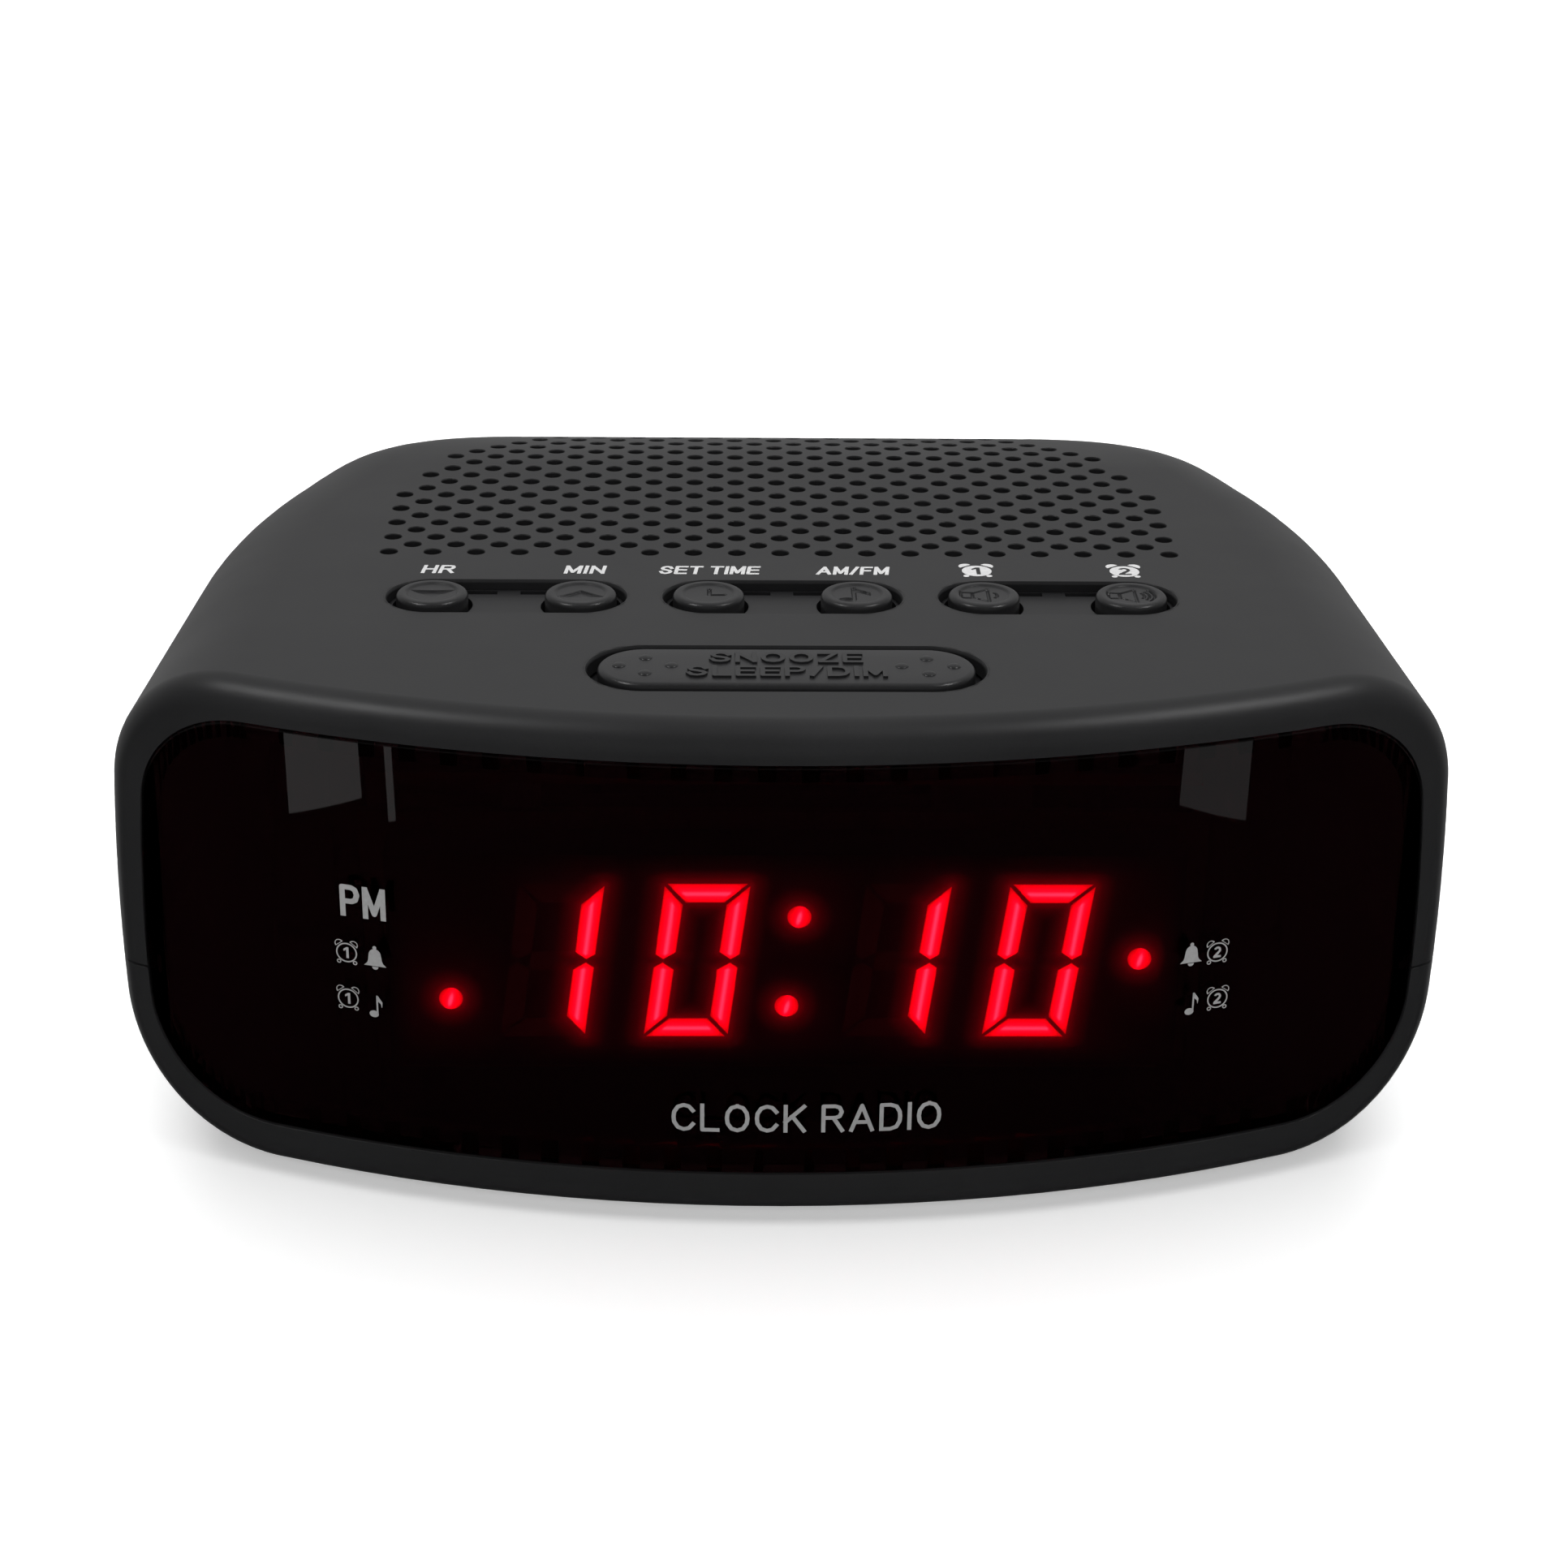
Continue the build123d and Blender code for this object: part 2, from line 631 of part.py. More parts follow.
key_names = {
    "hour": pair_x["hour_minute"] - key_half_step,
    "minute": pair_x["hour_minute"] + key_half_step,
    "set_time": -key_half_step,
    "band": key_half_step,
    "alarm_one": pair_x["alarm"] - key_half_step,
    "alarm_two": pair_x["alarm"] + key_half_step,
}
for name, x in key_names.items():
    save(f"{name}_button", key_cap(x))
    save(f"{name}_plunger", switch_plunger(x, key_y))
    save(f"{name}_switch", tact_switch(x, key_y))
save("snooze_bar", snooze_bar())
save("snooze_plunger", switch_plunger(0, snooze_y))
save("snooze_switch", tact_switch(0, snooze_y))
for name, x in pair_x.items():
    save(f"{name}_bridge", key_bridge(x))
save("key_board", key_board())

reflector, lit, unlit, dots, display_board = display_parts()
save("display_reflector", reflector)
save("lit_segments", group(lit))
save("unlit_segments", group(unlit))
save("indicator_dots", group(dots))
save("display_board", display_board)

save("main_board", main_board())
board_top = main_board_z + board_t
chips = [
    block(-30, -8, -30, -20, board_top, board_top + 4),
    block(4, 18, -22, -14, board_top, board_top + 2.5),
]
save("integrated_circuits", group(chips))
can_sizes = ((38, -30, 16, 5), (40, -18, 12, 4), (-40, -24, 12, 4), (-2, -36, 9, 3))
cans = [rod(x, y, board_top, board_top + h, r) for x, y, h, r in can_sizes]
save("electrolytic_capacitors", group([fillet(c.edges().group_by(Axis.Z)[-1], 0.6) for c in cans]))

save("speaker_basket", speaker_basket())
save("speaker_magnet", group(speaker_magnet()))
cone, coil, cap = speaker_moving()
save("speaker_cone", cone)
save("voice_coil", coil)
save("dust_cap", cap)
save("speaker_surround", speaker_surround())
save("speaker_spider", speaker_spider())

core, winding = transformer()
save("transformer_core", core)
save("transformer_winding", winding)

springs, plates = battery_contacts()
save("battery_springs", group(springs))
save("battery_plates", group(plates))

along_x = Rot(0, 90, 0)
save("ferrite_rod", Pos(0, 59.5, 26) * along_x * Cylinder(4.0, 60))
save("antenna_coil", Pos(8, 59.5, 26) * along_x * (Cylinder(5.2, 18) - Cylinder(4.1, 20)))
save("mains_cord_gland", gland(gland_x, 5.6, 3.9, 2.2))
save("wire_antenna_gland", gland(aerial_gland_x, 3.8, 2.5, 1.0))
board_zone = block(-60, 60, -60, 0, 0, board_top)
save("inner_wiring", group(inner_wiring(board_zone)))

save("case_screws", group([screw(x, y, 20.0, 42.0, 1.4, 2.9) for x, y in case_screw_xy]))
board_screws = [screw(x, y, key_board_top - board_t, 66.0, 1.0, 2.2) for x, y in key_board_posts]
board_screws += [screw(x, y, board_top, 6.0, 1.0, 2.2) for x, y in main_board_posts]
board_screws += [screw(x, y, 10.2, 5.0, 1.0, 2.2) for x, y in transformer_posts]
save("board_screws", group(board_screws))
save("speaker_screws", group([screw(x, y, speaker_flange_z - 1.4, 66.0, 1.0, 2.2) for x, y in speaker_posts]))
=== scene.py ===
import json
import math
import bmesh
import bpy
import numpy as np
from mathutils import Matrix, Vector
from mathutils.geometry import delaunay_2d_cdt

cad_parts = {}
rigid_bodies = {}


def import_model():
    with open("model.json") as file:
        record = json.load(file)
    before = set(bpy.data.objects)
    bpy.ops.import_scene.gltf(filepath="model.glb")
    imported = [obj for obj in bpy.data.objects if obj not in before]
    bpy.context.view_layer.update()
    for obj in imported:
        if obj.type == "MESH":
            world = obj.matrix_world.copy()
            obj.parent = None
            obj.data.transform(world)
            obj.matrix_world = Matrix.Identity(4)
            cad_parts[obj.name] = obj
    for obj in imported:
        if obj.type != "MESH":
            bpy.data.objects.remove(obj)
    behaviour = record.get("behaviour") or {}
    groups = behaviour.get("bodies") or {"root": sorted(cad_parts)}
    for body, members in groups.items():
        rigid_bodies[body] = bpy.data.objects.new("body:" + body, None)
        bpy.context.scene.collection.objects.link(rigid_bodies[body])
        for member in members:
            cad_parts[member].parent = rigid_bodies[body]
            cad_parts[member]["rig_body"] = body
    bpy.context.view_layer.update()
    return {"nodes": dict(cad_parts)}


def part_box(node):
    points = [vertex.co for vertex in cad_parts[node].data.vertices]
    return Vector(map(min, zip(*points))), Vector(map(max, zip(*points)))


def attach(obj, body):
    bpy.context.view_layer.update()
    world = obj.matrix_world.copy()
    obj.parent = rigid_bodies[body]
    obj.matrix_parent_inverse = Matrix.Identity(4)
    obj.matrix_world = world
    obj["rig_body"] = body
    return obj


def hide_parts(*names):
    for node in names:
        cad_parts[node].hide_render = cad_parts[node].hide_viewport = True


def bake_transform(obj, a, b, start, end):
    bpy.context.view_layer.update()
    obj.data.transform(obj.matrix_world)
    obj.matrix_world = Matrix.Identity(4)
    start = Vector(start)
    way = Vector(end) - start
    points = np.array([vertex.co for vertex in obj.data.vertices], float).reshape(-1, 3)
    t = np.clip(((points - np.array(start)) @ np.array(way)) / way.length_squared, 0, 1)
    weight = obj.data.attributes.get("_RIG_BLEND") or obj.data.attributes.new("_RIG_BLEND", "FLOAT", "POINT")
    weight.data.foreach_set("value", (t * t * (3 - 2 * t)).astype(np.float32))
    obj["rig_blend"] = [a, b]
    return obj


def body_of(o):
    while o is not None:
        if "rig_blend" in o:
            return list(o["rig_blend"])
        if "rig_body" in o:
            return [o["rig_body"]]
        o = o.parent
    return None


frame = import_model()
mm = 0.001
print("frame loaded")


# small helpers for nodes and meshes

# sRGB hex to the linear RGBA that shaders take.
def hexColour(code):
    srgb = np.array([int(code[i:i + 2], 16) / 255 for i in (1, 3, 5)])
    linear = np.where(srgb <= 0.04045, srgb / 12.92, ((srgb + 0.055) / 1.055) ** 2.4)
    return (*linear, 1.0)


# Adds a node; an input is a value, or a socket to link from.
def addNode(tree, kind, inputs=None, **settings):
    node = tree.nodes.new(kind)
    for name, value in settings.items():
        setattr(node, name, value)
    for name, value in (inputs or {}).items():
        if isinstance(value, bpy.types.NodeSocket):
            tree.links.new(value, node.inputs[name])
        else:
            node.inputs[name].default_value = value
    return node


# A Principled material; returns it with its tree, shader and Object coordinates.
def newMaterial(name, inputs):
    mat = bpy.data.materials.new(name)
    mat.use_nodes = True
    tree = mat.node_tree
    shader = tree.nodes["Principled BSDF"]
    for key, value in inputs.items():
        shader.inputs[key].default_value = value
    where = addNode(tree, "ShaderNodeTexCoord").outputs["Object"]
    return mat, tree, shader, where


def link(tree, source, shader, name):
    tree.links.new(source, shader.inputs[name])


# A colour ramp over (position, hex) stops.
def ramp(tree, source, stops):
    node = addNode(tree, "ShaderNodeValToRGB", {"Fac": source})
    elements = node.color_ramp.elements
    while len(elements) < len(stops):
        elements.new(0.5)
    for element, (position, code) in zip(elements, stops):
        element.position = position
        element.color = hexColour(code)
    return node


# A mesh from an array of corners and a list of faces.
def meshFrom(name, verts, faces):
    mesh = bpy.data.meshes.new(name)
    mesh.from_pydata(np.asarray(verts, float).reshape(-1, 3).tolist(), [], [tuple(f) for f in faces])
    return mesh


# Quads over a rows x columns grid of corners; wrap closes the columns into a ring.
def gridFaces(rows, columns, start=0, wrap=False):
    r = np.arange(rows - 1)[:, None]
    c = np.arange(columns if wrap else columns - 1)[None, :]
    after = (c + 1) % columns
    row, nextRow = r * columns, (r + 1) * columns
    quads = np.stack([row + c, row + after, nextRow + after, nextRow + c], -1)
    return (quads.reshape(-1, 4) + start).tolist()


# Merges corners that coincide and turns the faces outwards.
def tidyMesh(mesh, recalculate=True, merge=0.002 * mm):
    bm = bmesh.new()
    bm.from_mesh(mesh)
    bmesh.ops.remove_doubles(bm, verts=bm.verts, dist=merge)
    bmesh.ops.dissolve_degenerate(bm, edges=bm.edges, dist=merge / 4)
    if recalculate:
        bmesh.ops.recalc_face_normals(bm, faces=bm.faces)
    bm.to_mesh(mesh)
    bm.free()
    return mesh


# Several meshes as one.
def joined(name, meshes):
    bm = bmesh.new()
    for mesh in meshes:
        bm.from_mesh(mesh)
    whole = bpy.data.meshes.new(name)
    bm.to_mesh(whole)
    bm.free()
    return whole


# Puts a finished mesh in the scene, smooth below smoothAngle degrees, riding on its body.
def addPiece(name, mesh, body, material, replaces=(), smoothAngle=35):
    piece = bpy.data.objects.new(name, mesh)
    bpy.context.scene.collection.objects.link(piece)
    mesh.materials.clear()
    mesh.materials.append(material)
    if smoothAngle:
        mesh.shade_smooth()
        mesh.set_sharp_from_angle(angle=math.radians(smoothAngle))
    if body:
        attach(piece, body)
    if replaces:
        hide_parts(*replaces)
    return piece


# materials, each named for the real finish

# Colour and roughness drift over patches of patch mm, and a grain of grain mm stands grainDepth mm high;
# stretch draws the grain out along an axis.
def surface(name, look, **inputs):
    mat, tree, shader, where = newMaterial(name, inputs)
    drawn = addNode(tree, "ShaderNodeMapping", {
        "Vector": where, "Scale": look.get("stretch", (1.0, 1.0, 1.0)),
    })
    grain = addNode(tree, "ShaderNodeTexNoise", {
        "Vector": drawn.outputs["Vector"], "Scale": 1 / (look["grain"] * mm), "Detail": 2.0,
    })
    patch = addNode(tree, "ShaderNodeTexNoise", {
        "Vector": where, "Scale": 1 / (look["patch"] * mm), "Detail": 3.0,
    })
    mixed = addNode(tree, "ShaderNodeMath", {
        0: patch.outputs["Fac"], 1: grain.outputs["Fac"],
    }, operation="ADD")
    half = addNode(tree, "ShaderNodeMath", {0: mixed.outputs["Value"], 1: 0.5}, operation="MULTIPLY")
    tint = ramp(tree, half.outputs["Value"], [(0.35, look["dark"]), (0.65, look["light"])])
    rough = addNode(tree, "ShaderNodeMapRange", {
        "Value": patch.outputs["Fac"], "From Min": 0.3, "From Max": 0.7,
        "To Min": look["rough"][0], "To Max": look["rough"][1],
    })
    bump = addNode(tree, "ShaderNodeBump", {
        "Height": grain.outputs["Fac"], "Strength": 0.5, "Distance": look["grainDepth"] * mm,
    })
    link(tree, tint.outputs["Color"], shader, "Base Color")
    link(tree, rough.outputs["Result"], shader, "Roughness")
    link(tree, bump.outputs["Normal"], shader, "Normal")
    return mat


# injection moulded ABS from a spark-eroded tool: black, satin, a grain under half a millimetre across
mouldedAbs = dict(dark="#1e1e1f", light="#232324", grain=0.32, grainDepth=0.012, patch=24.0,
                  rough=(0.36, 0.44))
casePlastic = surface("moulded black ABS, satin", mouldedAbs, IOR=1.53)
keyAbs = dict(mouldedAbs, dark="#222223", light="#272728", rough=(0.30, 0.36))
keyPlastic = surface("moulded black ABS, keys", keyAbs, IOR=1.53)
print("plastics made")


# the body's outside as a formula, in millimetres in the radio's own drawing frame

form = dict(
    halfWidth=90.0, taper=0.065, taperY=-43.0, turnY=20.0, cornerX=67.0, rearY=70.0, sideRadius=110.0,
    rearRadius=38.0, topRadius=18.0, bottomRadius=23.0, rimRadius=4.5, frontRadius=190.0,
    dropY=35.0, dropRadius=110.0, dropAngle=math.radians(17.0),
    widestZ=36.0, leanRate=0.001767, leanStart=0.05672,
    wall=2.2, seamZ=28.3, seamBand=0.35, seamReach=0.3,
)
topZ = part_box("top_shell")[1].z / mm
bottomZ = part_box("bottom_shell")[0].z / mm
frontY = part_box("front_lens")[0].y / mm
shiftY = form["rearY"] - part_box("top_shell")[1].y / mm   # drawing frame to row frame
axisY = frontY + form["frontRadius"]                # axis of the curved front, row frame


# Rows of v, each at length 1.
def unit(v):
    return v / np.maximum(np.linalg.norm(v, axis=-1, keepdims=True), 1e-12)


# Two surfaces meeting in a rolling-ball fillet: where both are within radius, distance is
# measured from the line that lies radius deep in each; elsewhere the larger distance counts.
def roundMeet(distA, normA, distB, normB, radius):
    k = np.sum(normA * normB, -1)
    u, v = distA + radius, distB + radius
    shareA, shareB = u - k * v, v - k * u
    inside = (shareA > 0) & (shareB > 0)
    away = (shareA[:, None] * normA + shareB[:, None] * normB) / np.maximum(1 - k * k, 1e-6)[:, None]
    dist = np.where(inside, np.linalg.norm(away, axis=-1) - radius, np.maximum(distA, distB))
    normal = np.where(inside[:, None], unit(away), np.where((distA > distB)[:, None], normA, normB))
    return dist, normal


# Distance outside the plan outline: tapering side, turn of sideRadius, slanted side, corner of
# rearRadius, flat rear. Straight stretches by half-planes, rounded ones by distance to a centre.
def planDistance(x, y):
    f = form
    turnX = f["halfWidth"] - f["taper"] * (f["turnY"] - f["taperY"])
    normals = unit(np.array([
        [1.0, f["taper"]],
        [f["rearY"] - f["turnY"], turnX - f["cornerX"]],
        [0.0, 1.0],
    ]))
    offsets = np.array([normals[0] @ (turnX, f["turnY"]), normals[1] @ (turnX, f["turnY"]), f["rearY"]])
    p = np.stack([np.abs(x), y], -1)
    each = p @ normals.T - offsets
    dist, normal = each.max(-1), normals[each.argmax(-1)]
    for i, radius in ((0, f["sideRadius"]), (1, f["rearRadius"])):
        a, b = normals[i], normals[i + 1]
        q = p - np.linalg.solve(np.array([a, b]), offsets[i:i + 2] - radius)
        wedge = (a[0] * q[:, 1] > a[1] * q[:, 0]) & (q[:, 0] * b[1] > q[:, 1] * b[0])
        dist = np.where(wedge, np.linalg.norm(q, axis=-1) - radius, dist)
        normal = np.where(wedge[:, None], unit(q), normal)
    return dist, normal * np.stack([np.where(x < 0, -1, 1), np.ones_like(x)], -1)


# Distance outside the whole body, with the outward direction, for points in metres.
def bodyDistance(points):
    f = form
    x, y, z = (np.asarray(points, float) / mm).T
    y = y + shiftY
    zero, one = np.zeros_like(x), np.ones_like(x)
    flat, flatNormal = planDistance(x, y)
    lean = (z - f["widestZ"]) * (f["leanRate"] * z - f["leanStart"])
    slope = f["leanRate"] * (2 * z - f["widestZ"]) - f["leanStart"]
    side = (flat + lean) / np.sqrt(1 + slope ** 2)
    sideNormal = unit(np.stack([flatNormal[:, 0], flatNormal[:, 1], slope], -1))
    qy, qz = y - f["dropY"], z - topZ + f["dropRadius"]
    turn = np.clip(np.arctan2(qy, np.maximum(qz, 1e-6)), 0, f["dropAngle"])
    top = qy * np.sin(turn) + qz * np.cos(turn) - f["dropRadius"]
    topNormal = np.stack([zero, np.sin(turn), np.cos(turn)], -1)
    dist, normal = roundMeet(side, sideNormal, top, topNormal, f["topRadius"])
    dist, normal = roundMeet(dist, normal, bottomZ - z, np.stack([zero, zero, -one], -1), f["bottomRadius"])
    fx, fy = x, y - shiftY - axisY
    reach = np.hypot(fx, fy)
    front = np.where(fy < 0, reach - f["frontRadius"], -reach)
    return roundMeet(dist, normal, front, np.stack([fx / reach, fy / reach, zero], -1), f["rimRadius"])


# Height of the upper skin over plan points, in metres, by Newton steps down from the top.
def skinHeight(x, y):
    p = np.stack([x, y, np.full_like(x, topZ * mm)], -1)
    for _ in range(14):
        dist, normal = bodyDistance(p)
        p[:, 2] -= dist * mm / np.maximum(normal[:, 2], 0.3)
    return p[:, 2]


# Distance outside the curved front's cylinder, with the outward direction.
def frontDistance(points):
    x, y = points[:, 0] / mm, points[:, 1] / mm - axisY
    reach = np.hypot(x, y)
    return reach - form["frontRadius"], np.stack([x / reach, y / reach, np.zeros_like(x)], -1)


# Draws corners that lie on the outside onto the formula's surface, and gives them its normals.
def dressSkin(mesh, distance=bodyDistance, reach=0.62, facing=0.93):
    count = len(mesh.vertices)
    co = np.empty(count * 3)
    mesh.vertices.foreach_get("co", co)
    co = co.reshape(-1, 3)
    dist, normal = distance(co)
    nearSeam = np.abs(co[:, 2] / mm - form["seamZ"]) < form["seamBand"]
    skin = np.abs(dist) < np.where(nearSeam, form["seamReach"], reach)
    faceNormals = np.empty(len(mesh.polygons) * 3)
    mesh.polygons.foreach_get("normal", faceNormals)
    faceNormals = faceNormals.reshape(-1, 3)
    totals = np.empty(len(mesh.polygons), int)
    mesh.polygons.foreach_get("loop_total", totals)
    corner = np.empty(len(mesh.loops), int)
    mesh.loops.foreach_get("vertex_index", corner)
    loopFace = np.repeat(faceNormals, totals, axis=0)
    outer = skin[corner] & (np.sum(loopFace * normal[corner], -1) > facing)
    moved = np.zeros(count, bool)
    moved[corner[outer]] = True
    for _ in range(3):
        dist, normal = distance(co)
        co[moved] -= (dist[:, None] * normal * mm)[moved]
    mesh.vertices.foreach_set("co", co.ravel())
    mesh.update()
    mesh.shade_smooth()
    mesh.set_sharp_from_angle(angle=math.radians(32))
    mesh.normals_split_custom_set(np.where(outer[:, None], normal[corner], 0.0).tolist())


# A merged copy of a CAD node's triangles.
def nodeCopy(name, node):
    return tidyMesh(joined(name, [frame["nodes"][node].data]), recalculate=False, merge=0.008 * mm)


# the perforated top: a plate over the grille, keys and snooze bar, let into the shell

plate = dict(
    pitch=6.2, rows=21, firstRow=-3.0, holeRadius=1.25, holeLip=0.22, holeSides=20,
    keySlotX=(-38.0, 0.0, 38.0), keySlotY=-20.5, keySlotHalf=10.2, keySlotRadius=6.2,
    snoozeY=-46.5, snoozeHalf=18.3, snoozeRadius=7.7, slotLip=0.45, slotSides=72,
    frontInset=9.0, side=62.0, edge=((62.0, 27.0), (55.5, 43.0), (36.0, 63.0)), step=1.5,
    fillX=60.0, fillY=(32.0, 62.0), fillStep=(2.5, 2.0), holeClear=0.7, edgeClear=0.8,
)


# Staggered rows; the field narrows towards the rear along two slants.
def grilleCentres():
    centres = []
    for row in range(plate["rows"]):
        back = row / 2
        for step in range(-10, 11):
            reach = abs(step + 0.5 * (row % 2))
            if reach <= 9 and reach + back / 3 <= 10.5 and reach + back <= 15:
                x = (step + 0.5 * (row % 2)) * plate["pitch"]
                centres.append((x, plate["firstRow"] + back * plate["pitch"]))
    return centres


# Ring of corners about a spine of half-length half: a circle if half is 0.
def stadiumRing(x, y, half, radius, sides):
    turn = (np.arange(sides) + 0.5) / sides * 2 * np.pi
    return np.stack([x + np.sign(np.cos(turn)) * half + radius * np.cos(turn), y + radius * np.sin(turn)], -1)


# Front arc parallel to the radio's front, then straight stretches round the grille.
def plateOutline():
    p = plate
    across = np.linspace(-p["side"], p["side"], 84)
    r = form["frontRadius"] - p["frontInset"]
    front = np.stack([across, axisY + shiftY - np.sqrt(r * r - across ** 2)], -1)
    right = [front[-1]] + [np.array(e) for e in p["edge"]]
    path = right + [e * (-1, 1) for e in right[::-1]]
    stretches = [front[:-1]]
    for a, b in zip(path[:-1], path[1:]):
        pieces = max(1, int(np.linalg.norm(b - a) / p["step"]))
        stretches.append(a + (b - a) * (np.arange(pieces) / pieces)[:, None])
    return np.concatenate(stretches)


# Even-odd test of plan points against a closed outline.
def insideOutline(points, outline):
    a, b = outline, np.roll(outline, -1, axis=0)
    x, y = points[:, :1], points[:, 1:]
    spans = (a[:, 1] > y) != (b[:, 1] > y)
    rise = np.where(b[:, 1] == a[:, 1], 1.0, b[:, 1] - a[:, 1])
    return (np.sum(spans & (x < a[:, 0] + (y - a[:, 1]) / rise * (b[:, 0] - a[:, 0])), -1) % 2) == 1


# A plate that follows the upper skin, from above it to below it, with lipped openings.
# Both faces are one triangulation of the plan; each opening is a ring profile carried down it.
def plateMesh(name, openings, above, below):
    p = plate
    outline = plateOutline()
    rings = [stadiumRing(o["x"], o["y"], o["half"], o["radius"] + o["lip"], o["sides"]) for o in openings]
    gx, gy = np.meshgrid(np.arange(-p["fillX"], p["fillX"] + 1, p["fillStep"][0]),
                         np.arange(p["fillY"][0], p["fillY"][1], p["fillStep"][1]))
    fill = np.stack([gx.ravel(), gy.ravel()], -1)
    fill = fill[insideOutline(fill, outline)]
    for o in openings:
        away = np.hypot(np.maximum(np.abs(fill[:, 0] - o["x"]) - o["half"], 0), fill[:, 1] - o["y"])
        fill = fill[away > o["radius"] + o["lip"] + p["holeClear"]]
    fill = fill[np.min(np.linalg.norm(fill[:, None] - outline[None], axis=-1), -1) > p["edgeClear"]]
    loops = [outline] + rings
    starts = np.cumsum([0] + [len(l) for l in loops])
    edges = [(s + i, s + (i + 1) % len(l)) for s, l in zip(starts, loops) for i in range(len(l))]
    plan = np.concatenate(loops + [fill])
    corners = [Vector(xy) for xy in plan.tolist()]
    flat, _, triangles, origins, _, _ = delaunay_2d_cdt(corners, edges, [], 0, 1e-6)
    flat = np.array([tuple(v) for v in flat])
    place = np.zeros(len(plan), int)
    for i, source in enumerate(origins):
        place[list(source)] = i
    triangles = np.array([t for t in triangles if len(t) == 3])
    centre = flat[triangles].mean(1)
    keep = insideOutline(centre, outline)
    for o in openings:
        away = np.hypot(np.maximum(np.abs(centre[:, 0] - o["x"]) - o["half"], 0), centre[:, 1] - o["y"])
        keep &= away > (o["radius"] + o["lip"]) * 0.985
    triangles = triangles[keep]
    x, y = flat[:, 0] * mm, (flat[:, 1] - shiftY) * mm
    z = skinHeight(x, y)
    upper = np.stack([x, y, z + above * mm], -1)
    lower = np.stack([x, y, z - below * mm], -1)
    verts, faces = [upper, lower], triangles.tolist() + (triangles[:, ::-1] + len(flat)).tolist()
    rim = place[:len(outline)]
    after = np.roll(rim, -1)
    faces += np.stack([rim, rim + len(flat), after + len(flat), after], -1).tolist()
    used = 2 * len(flat)
    for o, start in zip(openings, starts[1:]):
        n = o["sides"]
        ring = place[start:start + n]
        level = upper[ring, 2]
        rows = [ring]
        for turn in np.radians((30, 60, 90)):
            edge = stadiumRing(o["x"], o["y"], o["half"], o["radius"] + o["lip"] * (1 - math.sin(turn)), n)
            sink = level - o["lip"] * mm * (1 - math.cos(turn))
            verts.append(np.stack([edge[:, 0] * mm, (edge[:, 1] - shiftY) * mm, sink], -1))
            rows.append(used + np.arange(n))
            used += n
        edge = stadiumRing(o["x"], o["y"], o["half"], o["radius"], n)
        verts.append(np.stack([edge[:, 0] * mm, (edge[:, 1] - shiftY) * mm, level - below * mm], -1))
        rows += [used + np.arange(n), ring + len(flat)]
        used += n
        for a, b in zip(rows[:-1], rows[1:]):
            faces += np.stack([a, b, np.roll(b, -1), np.roll(a, -1)], -1).tolist()
    mesh = meshFrom(name, np.concatenate(verts), faces)
    return tidyMesh(mesh, merge=0.0005 * mm)


# Every opening of the plate: grille holes, three key slots and the snooze slot.
def topOpenings():
    p = plate
    found = [dict(x=x, y=y, half=0.0, radius=p["holeRadius"], lip=p["holeLip"], sides=p["holeSides"])
             for x, y in grilleCentres()]
    for x in p["keySlotX"]:
        found.append(dict(x=x, y=p["keySlotY"], half=p["keySlotHalf"], radius=p["keySlotRadius"],
                          lip=p["slotLip"], sides=p["slotSides"]))
    found.append(dict(x=0.0, y=p["snoozeY"], half=p["snoozeHalf"], radius=p["snoozeRadius"],
                      lip=p["slotLip"], sides=p["slotSides"]))
    return found


# mesh less the solid of cutterMesh.
def cutAway(name, mesh, cutterMesh):
    body, cutter = (bpy.data.objects.new(n, m) for n, m in ((name, mesh), (name + "Cutter", cutterMesh)))
    for o in (body, cutter):
        bpy.context.scene.collection.objects.link(o)
    cut = body.modifiers.new("cut", "BOOLEAN")
    cut.object, cut.operation, cut.solver = cutter, "DIFFERENCE", "EXACT"
    bpy.context.view_layer.update()
    whole = bpy.data.meshes.new_from_object(body.evaluated_get(bpy.context.evaluated_depsgraph_get()))
    for o in (body, cutter):
        bpy.data.objects.remove(o)
    return whole


shellCopy = nodeCopy("topShell", "top_shell")
dressSkin(shellCopy)
shellRing = cutAway("shellRing", shellCopy, plateMesh("plateRoom", [], 10.0, 2.35))
topMesh = joined("topShell", [shellRing, plateMesh("topPlate", topOpenings(), 0.0, form["wall"])])
addPiece("topShell", topMesh, "root", casePlastic, ["top_shell"], 0)
dressSkin(topMesh)
bottomMesh = nodeCopy("bottomShell", "bottom_shell")
addPiece("bottomShell", bottomMesh, "root", casePlastic, ["bottom_shell"], 0)
dressSkin(bottomMesh)
print("shells made", len(topMesh.polygons), len(bottomMesh.polygons))


# front lens: polished smoked acrylic, curved in plan only

lensLook = dict(tint="#38191d", roughness=0.012, ior=1.49)
smokedAcrylic, _, _, _ = newMaterial("smoked acrylic, polished", {
    "Base Color": hexColour(lensLook["tint"]), "Roughness": lensLook["roughness"], "IOR": lensLook["ior"],
    "Transmission Weight": 1.0, "Specular IOR Level": 0.35,
})
lensMesh = nodeCopy("frontLens", "front_lens")
addPiece("frontLens", lensMesh, "root", smokedAcrylic, ["front_lens"], 0)
dressSkin(lensMesh, frontDistance, 0.01)
print("lens made")
